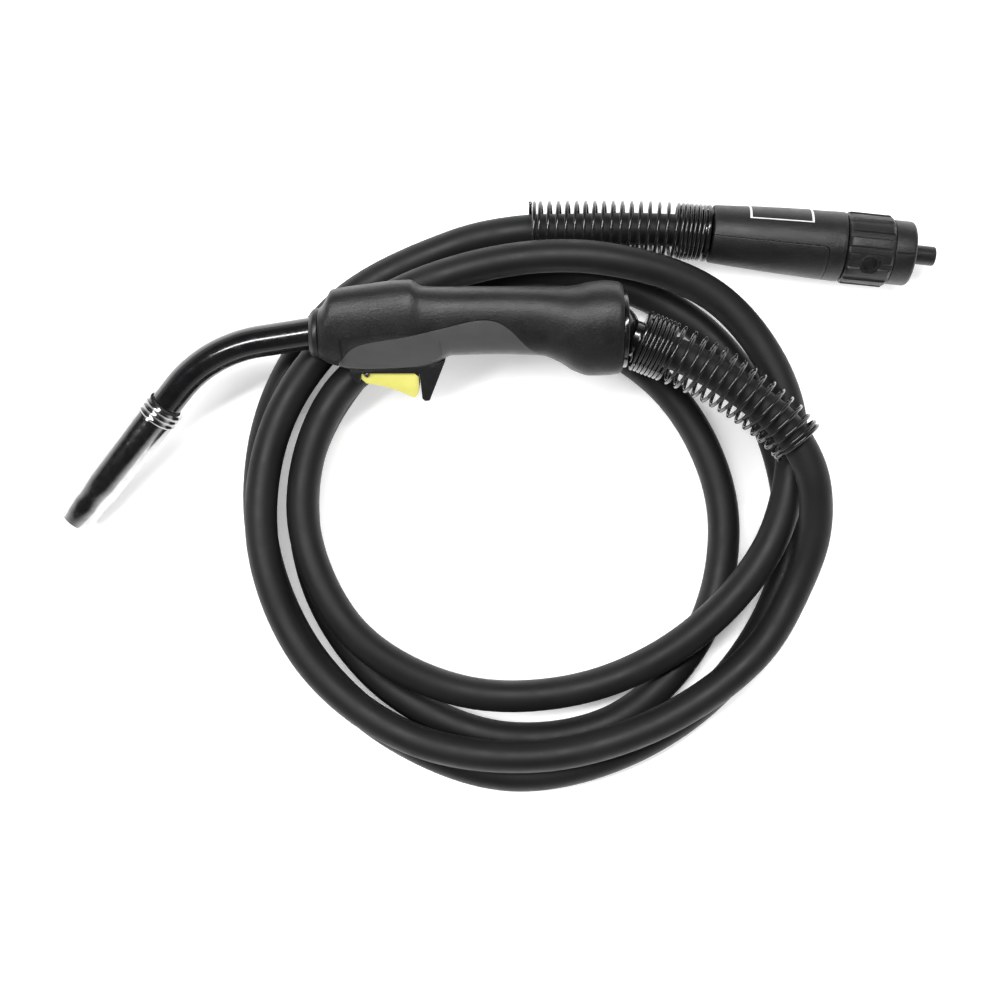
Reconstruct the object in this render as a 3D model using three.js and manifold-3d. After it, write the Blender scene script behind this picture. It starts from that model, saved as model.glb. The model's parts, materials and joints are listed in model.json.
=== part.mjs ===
// Mig welding torch: pistol-less handle on a swivel ball, swan neck and gas nozzle, a loosely coiled
// power cable, and a central connector with its transport cap. Millimetres, +Z up. The torch lies on
// its side on the coil, with its nozzle tip on the table at z = 0.
import * as THREE from "three";
import { mergeVertices } from "three/addons/utils/BufferGeometryUtils.js";
import Module from "manifold-3d";

// ---- general ----
const GAP = 0.3;                      // clearance between neighbouring pieces
const SPLIT = 0.3;                    // gap between mirrored half shells

// ---- cable: its centre-line from the spring seat on the handle to the connector ----
const CABLE_D = 22.5;
const CABLE_SIDES = 8;
const CABLE_STEPS = 80;
const CABLE_SEAT_CLEARANCE = 1.4;     // round the cable in the mouths that it enters
const CABLE_ROUTE = [
  [209.2, 41.3, 68.5], [226, 34.9, 68.4], [252, 22.4, 67.2], [276, 6.5, 65.6],
  [302, -15.5, 64.7], [318.6, -45, 61.5], [323, -83, 51],
  [313, -121, 40.5], [285, -170, 35.5], [218, -218, 35], [133, -241, 35], [45, -228, 35],
  [-24, -175, 35], [-57, -93, 35], [-45, -6, 35], [9, 63, 35], [90, 98, 40.5], [178, 103, 46.5],
  [261, 75, 37], [308, 3, 34], [300, -84, 35], [245, -154, 35], [168, -195, 21], [80, -197, 23.5],
  [5, -154, 34.5], [-29, -73, 35], [-5, 11, 35], [68, 58, 29], [154, 59, 13], [229, 12, 12],
  [266, -67, 11.5], [252, -154, 11.5], [192, -218, 11.5], [106, -231, 11.5], [26, -193, 11.5],
  [-23, -121, 11.5], [-28, -33, 11.5], [18, 42, 11.5], [90, 93, 11.5], [178, 94, 11.5],
  [256, 54, 11.5], [303, -21, 11.5], [312, -108, 11.5], [272, -187, 11.5], [201, -240, 11.5],
  [115, -259, 11.5], [32, -229, 11.5], [-31, -168, 11.5], [-62, -85, 11.5], [-53, 3, 11.5],
  [-5, 76, 11.5], [73, 117, 12], [117, 127, 14.3], [161, 128.5, 15.6], [203, 127.9, 21.4],
  [236, 125.88, 25], [257.5, 123.69, 25.1], [270, 122.43, 25.1],
];

// ---- swivel joint at the rear of the handle ----
const BALL_CENTRE = [184, 51, 68.5];
const BALL_R = 18;
const BALL_BORE_R = 7;
const SOCKET_CLEARANCE = 0.35;
const SOCKET_R = 21;                  // outside of the socket ring
const SOCKET_FRONT = 6.5;             // how far the ring reaches in front of the ball's centre
const SOCKET_LIP = 6.5;               // and behind it
const SOCKET_REAR = 9.2;              // rear face of the ring's flange
const SOCKET_FLANGE_R = 25;
const SOCKET_FLANGE_T = 3.4;
const SEAT_ANGLE = -21;               // where the cable leaves, from the handle's line, degrees
const SEAT_NECK_R = BALL_R - 6;
const SEAT_FLANGE_AT = 19.4;          // its full radius, from the ball's centre
const SEAT_CHAMFER = 1.2;
const SEAT_FLANGE_T = 1.6;
const SEAT_FLANGE_R = 21;
const SEAT_STUB_L = 14;
const CABLE_END = 27;                 // the cable's end face, from the ball's centre
const STUB_CLEARANCE = 1.2;           // from a spring's inside to the stub it sits on

// ---- bend-relief springs ----
const SPRING_WIRE = 2.6;
const SPRING_CLOSED_PITCH = 1.12;     // pitch of closed coils, in wire thicknesses
const HANDLE_SPRING_OD = [42, 37];    // at the seat and at the free end
const HANDLE_SPRING_END = [310, -26, 65.5];
const HANDLE_SPRING_END_ANGLE = -50;
const HANDLE_SPRING_TURNS = [6, 14, 2];
const PLUG_SPRING_OD = [40, 40];
const PLUG_SPRING_END = [128, 128, 20.2];
const PLUG_SPRING_TURNS = [6, 15.5, 1.5];
const SPRING_SIDES = 4;
const SPRING_STEPS_PER_TURN = 10;

// ---- torch attitude ----
const PITCH = 0.5;                      // nose down, degrees; the roll follows from the tip touching z = 0

// ---- handle: stations along u, forward from the ball's centre; v is up, away from the trigger ----
const HANDLE_LENGTH = 197;
const CAVITY_FRONT = HANDLE_LENGTH - 11;
const HANDLE_WALL = 3;
const FAR_U = HANDLE_LENGTH + 60;     // clear of the handle's front
const HANDLE_SIDES = 18;
const CAVITY_SIDES = 10;
const HANDLE_POWER = 2.5;             // roundness of the section: 2 is an ellipse
const HANDLE_STATIONS = [
  // u, top, bottom, half width
  [-5.5, 30, -27, 25.2], [-3, 31.7, -28.8, 26], [6, 32.7, -29.8, 26], [16, 31.8, -30, 25],
  [26, 29.6, -27, 23.5], [36, 29, -21, 20.5], [48, 29, -16.6, 18], [78, 29.2, -15.8, 17],
  [108, 29, -16.4, 17], [118, 29, -21.4, 17], [128, 29.6, -24.4, 17.3], [136, 33.8, -25.2, 17.8],
  [148, 33.2, -25.8, 17.8], [166, 30.8, -26.4, 17.4],
  [HANDLE_LENGTH - 19, 29.2, -25.6, 17], [HANDLE_LENGTH - 13, 28.2, -24.2, 16.8],
  [HANDLE_LENGTH - 8.5, 27.2, -23, 16.6], [HANDLE_LENGTH - 5, 21.5, -21.4, 16.4],
  [HANDLE_LENGTH - 2, 16.6, -19.6, 16], [HANDLE_LENGTH, 15, -18.4, 15.4],
];
const GRIP_OUTLINE = [
  // the grey grip in the u-v plane
  [189, -45], [186, -27], [184, -21], [180, -14.5], [174, -8.5], [167, -5.4], [140, -0.2], [116, 5.2],
  [95, 10.4], [84, 11.2], [76, 9.2], [68, 3.6], [59, -6], [47, -17], [38, -30], [36, -45],
];
const SCREW_PLACES = [[38, 20], [92, 20.5], [150, 23.5], [32, -17]];
const SCREW_HEAD_R = 2.9;
const SCREW_HEAD_T = 2.2;
const SCREW_SHANK_R = 1.4;
const SCREW_LENGTH = 17;
const SCREW_SEAT_W = 8.5;             // where the head's underside sits, from the middle plane
const BOSS_WALL = 1.6;

// ---- trigger and its frame ----
const FRAME_TOP = [[112.6, -18.6], [118, -20.8], [177, -20.8]];   // let into the handle
const FRAME_OUTLINE = [
  FRAME_TOP[2], [177, -29], [173, -34.4], [170.8, -34.6], [170.4, -27.8], [130.2, -27.8],
  [128.8, -45.6], [127, -47.4], [123.8, -47], FRAME_TOP[0], FRAME_TOP[1],
];
const TRIGGER_OUTLINE = [
  [169.6, -26.6], [169.8, -32.4], [166.6, -35.4], [155.4, -37.4], [145.4, -40.6], [136.9, -44.6],
  [133.8, -45.6], [131.6, -42.8], [130.8, -37.8], [131, -31], [134, -28.2], [160, -25.8],
];
const TRIGGER_HALF_WIDTH = 6;
const FRAME_HALF_WIDTH = TRIGGER_HALF_WIDTH + 2;
const TRIGGER_ROUND = 1.2;
const TRIGGER_PIVOT = [166, -29.4];
const TRIGGER_PIN_R = 1.5;
const POCKET_TOP = -23;               // ceiling of the trigger's pocket
const PLUNGER_U = 147;
const PLUNGER_R = 1.6;
const PLUNGER_L = 6.2;
const PLUNGER_HANG = 3.6;             // how far it hangs below the pocket's ceiling
const SWITCH_SIZE = [20, 8, 9];       // along u, v and w

// ---- swan neck ----
const NECK_R = 10.75;
const NECK_FOOT = [HANDLE_LENGTH, -1.08];   // where its line crosses the handle's front, u and v
const NECK_TILT = 9;                  // its droop there, degrees
const NECK_BEND = 41;                 // and the bend after it
const NECK_BEND_R = 97;
const NECK_STRAIGHT = 40.5;             // from the handle's front to the bend
const NECK_TAIL = 15;                 // straight length after the bend
const NECK_IN_HANDLE = 12;            // how far the cover reaches back inside
const TUBE_OVERRUN = 14;              // how far the inner tube reaches into the nozzle
const NECK_TUBE_R = 6.7;
const NECK_BORE_R = NECK_TUBE_R + 0.8;
const LINER_R = 3.1;
const NECK_TUBE_BORE_R = LINER_R + 0.5;
const LINER_BORE_R = 1.5;
const NECK_STEPS = 9;
const CORE_R = 6;                     // the stripped lead from the block back to the swivel
const CORE_END = 24;
const COLLAR_V = -2.2;                // height of its centre
const COLLAR_R = 16.8;
const COLLAR_T = 6;
const BLOCK_X = [-84, -28];           // brass block on the tube, from the handle's front
const BLOCK_R = [8.8, 11, 9.6];       // at its rear, its shoulder and its front

// ---- nozzle end: x runs from the nozzle's rear face to its tip ----
const NOZZLE_LENGTH = 112;
const NOZZLE_BORE_R = 11.7;
const NOZZLE_R = NOZZLE_BORE_R + 1.9;
const NOZZLE_TIP_BORE_R = 10.2;
const NOZZLE_TIP_R = NOZZLE_TIP_BORE_R + 2.2;
const NOZZLE_TAPER_AT = 82;
const NOZZLE_BEAD_R = NOZZLE_R + 0.8;
const NOZZLE_BEADS = 3;
const NOZZLE_BEAD_PITCH = 4;
const INSULATOR_R = NOZZLE_BORE_R - 0.8;
const INSULATOR_L = 30;
const NOZZLE_SPRING_WIRE = 1.3;
const DIFFUSER_R = 8.8;
const DIFFUSER_END = 64;
const DIFFUSER_HOLES = 6;
const TIP_R = 4;
const TIP_RECESS = 7;                 // from the nozzle's mouth back to the contact tip

// ---- connector: a runs along its axis from the spring seat to the nose of the cap ----
const PLUG_ORIGIN = [252.53, 124.2, 25.1];
const PLUG_ANGLE = -5.8;              // degrees in the table's plane
const HOUSING_END = 94.8;
const HOUSING_A = [3.1, HOUSING_END];
const BODY_R = 13.8;                  // the brass connector body's front
const HOUSING_R = [BODY_R + 6.2, BODY_R + 10.4];   // at its two ends
const HOUSING_WALL = 2.8;
const PLUG_BORE_R = CABLE_D / 2 + CABLE_SEAT_CLEARANCE + 0.4;
const COVER_END = 83;
const COVER_TURN = 13;                // the seam's turn about the axis, degrees
const CRIMP_A = [7, 30];
const NUT_FROM = HOUSING_END + 0.8;
const NUT_L = 32.4;
const NUT_BORE_R = BODY_R + 4.2;
const NUT_R = NUT_BORE_R + 5.8;
const NUT_SEAT = 3.4;                 // thickness of the lip that holds it on the body
const NUT_RIBS = 14;
const NUT_RIB_H = 1.2;
const NUT_RIB_W = 6.4;
const NUT_LIP_R = BODY_R + 1.1;
const NUT_HOLE_TURN = 35;             // the spanner hole's turn about the axis, degrees
const CAP_FROM = NUT_FROM + 16.4;
const CAP_COLLAR_AT = NUT_FROM + NUT_L + 0.4;
const CAP_END = CAP_COLLAR_AT + 15;
const CAP_R = NUT_BORE_R + 4.3;
const CAP_SKIRT_WALL = 3.2;
const CAP_NOSE_R = 6.7;
const CAP_NOSE_L = 17.5;
const BODY_FLANGE_AT = NUT_FROM + 5.4;
const BODY_FLANGE_T = 4;
const BODY_END = NUT_FROM + 25.4;
const FACE_END = BODY_END + 4.4;
const CENTRE_PIN_R = 4.9;
const CENTRE_PIN_END = BODY_END + 18;
const CONTROL_PIN_L = 17;
const CONTROL_PIN_SUNK = 6;           // in the body
const CONTROL_PIN_R = 1.9;
const CONTROL_PIN_AT = 9.2;           // from the axis

const degrees = THREE.MathUtils.degToRad;
const wasm = await Module();
wasm.setup();

// ---- materials ----
function finish(color, roughness, metalness) {
  return new THREE.MeshStandardMaterial({ color, roughness, metalness });
}
const LOOKS = {
  rubber: finish(0x17181a, 0.55, 0),
  handleBlack: finish(0x1c1d1f, 0.6, 0),
  grip: finish(0x54575b, 0.7, 0),
  yellow: finish(0xe8c21a, 0.45, 0),
  blackGloss: finish(0x0e0f11, 0.25, 0),
  springSteel: finish(0x151617, 0.3, 0.4),
  chrome: finish(0xb9bcc0, 0.15, 1),
  brass: finish(0xb08d3c, 0.3, 1),
  copper: finish(0xb4683f, 0.35, 1),
  steel: finish(0x9a9da1, 0.3, 1),
  insulator: finish(0x1b1b1c, 0.6, 0),
};

// ---- shapes ----
function solidOf(geometry) {
  const bare = geometry.clone();
  bare.deleteAttribute("normal");
  bare.deleteAttribute("uv");
  const merged = mergeVertices(bare, 1e-4);
  const corners = merged.index.array;
  const kept = [];
  for (let i = 0; i < corners.length; i += 3) {
    const [a, b, c] = [corners[i], corners[i + 1], corners[i + 2]];
    if (a !== b && b !== c && c !== a) kept.push(a, b, c);
  }
  return new wasm.Manifold(new wasm.Mesh({
    numProp: 3,
    vertProperties: new Float32Array(merged.attributes.position.array),
    triVerts: new Uint32Array(kept),
  }));
}

function geometryOf(solid) {
  const { vertProperties, triVerts } = solid.getMesh();
  const geometry = new THREE.BufferGeometry();
  geometry.setAttribute("position", new THREE.BufferAttribute(vertProperties, 3));
  geometry.setIndex(new THREE.BufferAttribute(triVerts, 1));
  geometry.computeVertexNormals();
  return geometry;
}

function cut(body, ...tools) {
  return geometryOf(tools.reduce((rest, tool) => rest.subtract(solidOf(tool)), solidOf(body)));
}

function join(body, ...others) {
  return geometryOf(others.reduce((whole, other) => whole.add(solidOf(other)), solidOf(body)));
}

function common(body, tool) {
  return geometryOf(solidOf(body).intersect(solidOf(tool)));
}

// A solid of revolution about X from [radius, x] pairs; a profile off the axis closes on itself.
function turned(profile, sides = 18) {
  const points = profile.map(([radius, along]) => new THREE.Vector2(radius, along));
  if (THREE.ShapeUtils.area(points) < 0) points.reverse();
  if (points[0].x > 0) points.push(points[0].clone());
  return new THREE.LatheGeometry(points, sides).rotateZ(-Math.PI / 2);
}

function ring(inner, outer, from, to, sides = 18) {
  return turned([[inner, from], [outer, from], [outer, to], [inner, to]], sides);
}

function rod(radius, from, to, sides = 16) {
  return turned([[0, from], [radius, from], [radius, to], [0, to]], sides);
}

function box(from, to) {
  const size = to.map((high, k) => high - from[k]);
  const middle = to.map((high, k) => (high + from[k]) / 2);
  return new THREE.BoxGeometry(...size).translate(...middle);
}

// A plate of the outline in the first two axes, from one depth to another along the third.
function prism(outline, from, to) {
  const shape = new THREE.Shape(outline.map(([x, y]) => new THREE.Vector2(x, y)));
  const plate = new THREE.ExtrudeGeometry(shape, { depth: to - from, bevelEnabled: false });
  return plate.translate(0, 0, from);
}

function roundedPrism(outline, half, round) {
  const shape = new THREE.Shape(outline.map(([x, y]) => new THREE.Vector2(x, y)));
  const bevel = { bevelThickness: round, bevelSize: round, bevelOffset: -round, bevelSegments: 2 };
  const plate = new THREE.ExtrudeGeometry(shape, { depth: 2 * (half - round), ...bevel });
  return plate.translate(0, 0, round - half);
}

// A cylinder along the third axis.
function crossRod(radius, place, from, to, sides = 10) {
  return rod(radius, from, to, sides).rotateY(-Math.PI / 2).translate(place[0], place[1], 0);
}

function roundSection(radius, sides, bore = 0) {
  const circle = (r) => Array.from({ length: sides }, (_, k) => {
    const angle = (2 * Math.PI * k) / sides;
    return new THREE.Vector2(r * Math.cos(angle), r * Math.sin(angle));
  });
  const shape = new THREE.Shape(circle(radius));
  if (bore > 0) shape.holes.push(new THREE.Path(circle(bore)));
  return shape;
}

function swept(section, line, steps) {
  return new THREE.ExtrudeGeometry(section, { steps, extrudePath: line, bevelEnabled: false });
}

// The outline moved outwards by a distance, corner by corner; a negative distance moves it in.
function offsetOutline(outline, distance) {
  const side = Math.sign(THREE.ShapeUtils.area(outline.map(([x, y]) => new THREE.Vector2(x, y))));
  return outline.map(([x, y], k) => {
    const [ax, ay] = outline.at(k - 1);
    const [bx, by] = outline[(k + 1) % outline.length];
    const before = new THREE.Vector2(x - ax, y - ay).normalize();
    const after = new THREE.Vector2(bx - x, by - y).normalize();
    const along = before.clone().add(after).normalize();
    const reach = (side * distance) / Math.max(0.3, along.dot(before));
    return [x + along.y * reach, y - along.x * reach];
  });
}

// ---- springs ----
class CoilLine extends THREE.Curve {
  constructor(base, diameters, turns) {
    super();
    this.base = base;
    this.radii = diameters.map((d) => (d - SPRING_WIRE) / 2);
    this.turns = turns;
    this.total = turns[0] + turns[1] + turns[2];
    this.arcLengthDivisions = this.total * SPRING_STEPS_PER_TURN * 2;
  }

  // Share of the base line's length that a number of turns has covered.
  reach(turn) {
    const [first, open] = this.turns;
    const length = this.base.getLength() - SPRING_WIRE;
    const closed = SPRING_WIRE * SPRING_CLOSED_PITCH;
    const pitch = (length - closed * (this.total - open)) / open;
    const middle = Math.min(Math.max(turn - first, 0), open);
    return (SPRING_WIRE / 2 + closed * (turn - middle) + pitch * middle) / (length + SPRING_WIRE);
  }

  getPoint(t, target = new THREE.Vector3()) {
    const turn = t * this.total;
    const u = this.reach(turn);
    const forward = this.base.getTangentAt(u);
    const across = new THREE.Vector3().crossVectors(forward, new THREE.Vector3(0, 0, 1)).normalize();
    const up = new THREE.Vector3().crossVectors(across, forward);
    const radius = THREE.MathUtils.lerp(this.radii[0], this.radii[1], u);
    const angle = 2 * Math.PI * turn;
    return target.copy(this.base.getPointAt(u))
      .addScaledVector(across, radius * Math.cos(angle))
      .addScaledVector(up, radius * Math.sin(angle));
  }
}

function spring(base, diameters, turns) {
  const line = new CoilLine(base, diameters, turns);
  const section = roundSection(SPRING_WIRE / 2, SPRING_SIDES);
  return swept(section, line, Math.round(line.total * SPRING_STEPS_PER_TURN));
}

function flatDirection(angle) {
  return new THREE.Vector3(Math.cos(degrees(angle)), Math.sin(degrees(angle)), 0);
}

function springBase(start, startAngle, end, endAngle) {
  const from = new THREE.Vector3(...start);
  const to = new THREE.Vector3(...end);
  const third = from.distanceTo(to) / 3;
  return new THREE.CubicBezierCurve3(
    from,
    from.clone().addScaledVector(flatDirection(startAngle), third),
    to.clone().addScaledVector(flatDirection(endAngle), -third),
    to,
  );
}

function alongFrom(place, angle, distance) {
  return new THREE.Vector3(...place).addScaledVector(flatDirection(angle), distance).toArray();
}

// ---- swan neck line, in the neck's own frame; s is 0 where the bend starts ----
const BEND_LENGTH = NECK_BEND_R * degrees(NECK_BEND);

function neckPoint(s) {
  if (s <= 0) return new THREE.Vector3(NECK_STRAIGHT + s, 0, 0);
  const angle = Math.min(s, BEND_LENGTH) / NECK_BEND_R;
  const beyond = Math.max(s - BEND_LENGTH, 0);
  return new THREE.Vector3(
    NECK_STRAIGHT + NECK_BEND_R * Math.sin(angle) + beyond * Math.cos(angle),
    -NECK_BEND_R * (1 - Math.cos(angle)) - beyond * Math.sin(angle),
    0,
  );
}

class NeckLine extends THREE.Curve {
  constructor(from, to) {
    super();
    this.from = from;
    this.to = to;
  }

  getPoint(t, target = new THREE.Vector3()) {
    return target.copy(neckPoint(THREE.MathUtils.lerp(this.from, this.to, t)));
  }
}

const NOZZLE_PLANE = BEND_LENGTH + NECK_TAIL;

function neckPiece(radius, bore, from, to, sides) {
  return swept(roundSection(radius, sides, bore), new NeckLine(from, to), NECK_STEPS);
}

// From the neck's frame to the handle's.
function toHandle(shape) {
  return shape.rotateZ(-degrees(NECK_TILT)).translate(...NECK_FOOT, 0);
}

// ---- handle ----
// A closed loft through the stations: a unit cylinder with each ring moved to its station.
function loft(stations, sides) {
  const shape = new THREE.CylinderGeometry(1, 1, 1, sides, stations.length - 1);
  const place = shape.attributes.position;
  for (let i = 0; i < place.count; i += 1) {
    const [u, top, bottom, half] = stations[Math.round((0.5 - place.getY(i)) * (stations.length - 1))];
    const [c, s] = [place.getX(i), place.getZ(i)];
    const size = Math.hypot(c, s);
    const reach = Math.abs(c) ** HANDLE_POWER + Math.abs(s) ** HANDLE_POWER;
    const bulge = size > 0 ? reach ** (-1 / HANDLE_POWER) : 0;
    place.setXYZ(i, u, (top + bottom) / 2 + ((top - bottom) / 2) * c * bulge, half * s * bulge);
  }
  return shape;
}

function cavity() {
  const front = CAVITY_FRONT;
  const inner = HANDLE_STATIONS.filter(([u]) => u < front - 1);
  inner.push([front, ...inner.at(-1).slice(1)]);
  inner.unshift([HANDLE_STATIONS[0][0] - 5, ...HANDLE_STATIONS[0].slice(1)]);
  const wall = HANDLE_WALL;
  const inset = inner.map(([u, top, bottom, half]) => [u, top - wall, bottom + wall, half - wall]);
  return loft(inset, CAVITY_SIDES);
}

// side is 1 for the half on +w and -1 for the half on -w
function screwHole(place, side) {
  const shank = crossRod(SCREW_SHANK_R + GAP, place, -SCREW_LENGTH, SCREW_LENGTH);
  if (side < 0) return crossRod(SCREW_SHANK_R + GAP, place, -SCREW_LENGTH + SCREW_SEAT_W - 1, 1);
  return join(shank, crossRod(SCREW_HEAD_R + GAP, place, SCREW_SEAT_W, 40));
}

function boss(place, side) {
  const reach = 30;
  const bore = GAP + (side < 0 ? SCREW_SHANK_R + 0.4 : SCREW_HEAD_R);
  const radius = bore + BOSS_WALL;
  return side < 0 ? crossRod(radius, place, -reach, 0) : crossRod(radius, place, 0, reach);
}

function frameSlot() {
  const half = FRAME_HALF_WIDTH + GAP;
  const [rear, step, front] = FRAME_TOP;
  const below = -60;
  const outline = [front, [front[0], below], [rear[0], below], rear, step];
  return prism(offsetOutline(outline, GAP), -half, half);
}

function handleHalf(side) {
  const outer = loft(HANDLE_STATIONS, HANDLE_SIDES);
  const half = box([-50, -80, side < 0 ? -60 : SPLIT / 2], [FAR_U, 80, side < 0 ? -SPLIT / 2 : 60]);
  const bosses = SCREW_PLACES.map((place) => common(boss(place, side), outer));
  const hollow = join(cut(outer, cavity()), ...bosses);
  const holes = SCREW_PLACES.map((place) => screwHole(place, side));
  return cut(common(hollow, half), neckHole(), frameSlot(), ...holes);
}

function handleShell(side) {
  return cut(handleHalf(side), prism(offsetOutline(GRIP_OUTLINE, GAP / 2), -60, 60));
}

function gripInsert(side) {
  return common(handleHalf(side), prism(offsetOutline(GRIP_OUTLINE, -GAP / 2), -60, 60));
}

function screw(place) {
  const from = SCREW_SEAT_W + GAP;
  const shank = crossRod(SCREW_SHANK_R, place, from - SCREW_LENGTH + 2, from + 0.5);
  return join(shank, crossRod(SCREW_HEAD_R, place, from, from + SCREW_HEAD_T, 16));
}

// ---- trigger ----
function triggerFrame() {
  const half = TRIGGER_HALF_WIDTH + GAP;
  const lengthwise = TRIGGER_OUTLINE.map(([u]) => u);
  const rear = Math.min(...lengthwise) - 3 * GAP;
  const pocket = box([rear, -70, -half], [Math.max(...lengthwise) + GAP, POCKET_TOP, half]);
  const pinHole = crossRod(TRIGGER_PIN_R + 0.15, TRIGGER_PIVOT, -20, 20, 16);
  const plungerHole = new THREE.CylinderGeometry(PLUNGER_R + GAP, PLUNGER_R + GAP, 10, 12);
  plungerHole.translate(PLUNGER_U, POCKET_TOP, 0);
  return cut(prism(FRAME_OUTLINE, -FRAME_HALF_WIDTH, FRAME_HALF_WIDTH), pocket, pinHole, plungerHole);
}

function trigger() {
  const lever = roundedPrism(TRIGGER_OUTLINE, TRIGGER_HALF_WIDTH, TRIGGER_ROUND);
  return cut(lever, crossRod(TRIGGER_PIN_R + GAP, TRIGGER_PIVOT, -20, 20, 16));
}

function plunger() {
  const top = new THREE.CylinderGeometry(PLUNGER_R, PLUNGER_R, PLUNGER_L, 12);
  return top.translate(PLUNGER_U, POCKET_TOP - PLUNGER_HANG + PLUNGER_L / 2, 0);
}

function switchBody() {
  const [length, height, width] = SWITCH_SIZE;
  const bottom = FRAME_OUTLINE[0][1] + GAP;
  const well = new THREE.CylinderGeometry(PLUNGER_R + GAP, PLUNGER_R + GAP, 12, 12);
  const from = PLUNGER_U - 7;
  const body = box([from, bottom, -width / 2], [from + length, bottom + height, width / 2]);
  return cut(body, well.translate(PLUNGER_U, bottom, 0));
}

// ---- swivel ----
function swivelBall() {
  const ball = new THREE.SphereGeometry(BALL_R, 20, 12);
  return cut(ball, rod(BALL_BORE_R, -40, 40).rotateZ(degrees(SEAT_ANGLE)));
}

// Inner face of the socket: an arc of the sphere as [radius, u] pairs, from the lip to the front.
function sphereArc(radius, from, to, count) {
  return Array.from({ length: count + 1 }, (_, k) => {
    const along = THREE.MathUtils.lerp(from, to, k / count);
    return [Math.sqrt(radius * radius - along * along), along];
  });
}

function socketRing() {
  const inside = sphereArc(BALL_R + SOCKET_CLEARANCE, -SOCKET_LIP, SOCKET_FRONT, 6);
  const flareR = inside[0][0] + (SOCKET_REAR - SOCKET_LIP) * 1.7;
  const flangeFront = -SOCKET_REAR + SOCKET_FLANGE_T;
  return turned([
    ...inside, [SOCKET_R, SOCKET_FRONT], [SOCKET_R, flangeFront], [SOCKET_FLANGE_R, flangeFront],
    [SOCKET_FLANGE_R, -SOCKET_REAR], [flareR, -SOCKET_REAR],
  ], 20);
}

// Along its own axis, from the ball's centre towards the cable.
function springSeat() {
  const ballFace = BALL_R + SOCKET_CLEARANCE;
  const face = [BALL_BORE_R, (BALL_BORE_R + SEAT_NECK_R) / 2, SEAT_NECK_R]
    .map((r) => [r, Math.sqrt(ballFace * ballFace - r * r)]);
  const rear = SEAT_FLANGE_AT - SEAT_CHAMFER;
  const front = SEAT_FLANGE_AT + SEAT_FLANGE_T;
  const stub = HANDLE_SPRING_OD[0] / 2 - SPRING_WIRE - STUB_CLEARANCE;
  const mouth = CABLE_D / 2 + CABLE_SEAT_CLEARANCE;
  const bottom = CABLE_END - GAP;
  return turned([
    ...face, [SEAT_NECK_R, rear - 1], [SEAT_FLANGE_R - 2 * SEAT_CHAMFER, rear],
    [SEAT_FLANGE_R, SEAT_FLANGE_AT], [SEAT_FLANGE_R, front], [stub, front], [stub, front + SEAT_STUB_L - 1],
    [stub - 1, front + SEAT_STUB_L], [mouth, front + SEAT_STUB_L], [mouth, bottom], [BALL_BORE_R, bottom],
  ], 20);
}

// ---- neck and nozzle end ----
function neckHole() {
  return toHandle(rod(NECK_R + GAP, -30, 60, 24));
}

// A domed ring on the handle's front, bored along the neck.
function collar() {
  const from = HANDLE_LENGTH + GAP;
  const to = from + COLLAR_T;
  const dome = turned([
    [0, from], [COLLAR_R - 1, from], [COLLAR_R, from + 1], [COLLAR_R, to - 3], [COLLAR_R - 1, to - 1],
    [COLLAR_R - 3, to], [0, to],
  ], 20);
  return cut(dome.translate(0, COLLAR_V, 0), neckHole());
}

function neckBlock() {
  const [from, to] = BLOCK_X;
  const [rear, shoulder, front] = BLOCK_R;
  const bore = NECK_TUBE_R + GAP;
  return turned([
    [bore, to], [front, to], [front, to - 24], [shoulder, to - 24], [shoulder, to - 34],
    [rear, to - 34], [rear, from], [4, from], [4, to - 30], [bore, to - 30],
  ], 18);
}

// From the swivel up to the block's rear end.
function coreLead() {
  const droop = degrees(NECK_TILT);
  const reach = BLOCK_X[0] - GAP;
  const rise = NECK_FOOT[1] - reach * Math.sin(droop);
  const run = NECK_FOOT[0] + reach * Math.cos(droop) - CORE_END;
  const slope = Math.atan2(rise, run);
  return rod(CORE_R, 0, Math.hypot(rise, run) - CORE_R * Math.sin(slope + droop), 12)
    .rotateZ(slope)
    .translate(CORE_END, 0, 0);
}

function gasNozzle() {
  const foot = NOZZLE_R - 0.3;
  const beads = [];
  for (let k = 0; k < NOZZLE_BEADS; k += 1) {
    const at = 0.4 + k * NOZZLE_BEAD_PITCH;
    beads.push([foot, at], [NOZZLE_BEAD_R, at + 1], [NOZZLE_BEAD_R, at + 2.2], [foot, at + 3.2]);
  }
  const shoulder = NOZZLE_BEADS * NOZZLE_BEAD_PITCH + 0.6;
  return turned([
    [NOZZLE_BORE_R, 0], [foot, 0], ...beads, [NOZZLE_R, shoulder], [NOZZLE_R, NOZZLE_TAPER_AT],
    [NOZZLE_TIP_R + 0.4, NOZZLE_TAPER_AT + 5], [NOZZLE_TIP_R, NOZZLE_TAPER_AT + 8],
    [NOZZLE_TIP_R, NOZZLE_LENGTH - 0.8], [NOZZLE_TIP_R - 0.6, NOZZLE_LENGTH],
    [NOZZLE_TIP_BORE_R, NOZZLE_LENGTH], [NOZZLE_TIP_BORE_R, NOZZLE_TAPER_AT + 8],
    [NOZZLE_BORE_R, NOZZLE_TAPER_AT],
  ], 20);
}

function nozzleInsulator() {
  const bore = NECK_TUBE_R + GAP;
  const groove = NOZZLE_BORE_R - 2 * NOZZLE_SPRING_WIRE + 0.3;
  return turned([
    [bore, -0.6], [INSULATOR_R, -0.6], [INSULATOR_R, 8], [groove, 8], [groove, 18], [INSULATOR_R, 18],
    [INSULATOR_R, INSULATOR_L], [bore, INSULATOR_L],
  ], 22);
}

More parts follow.
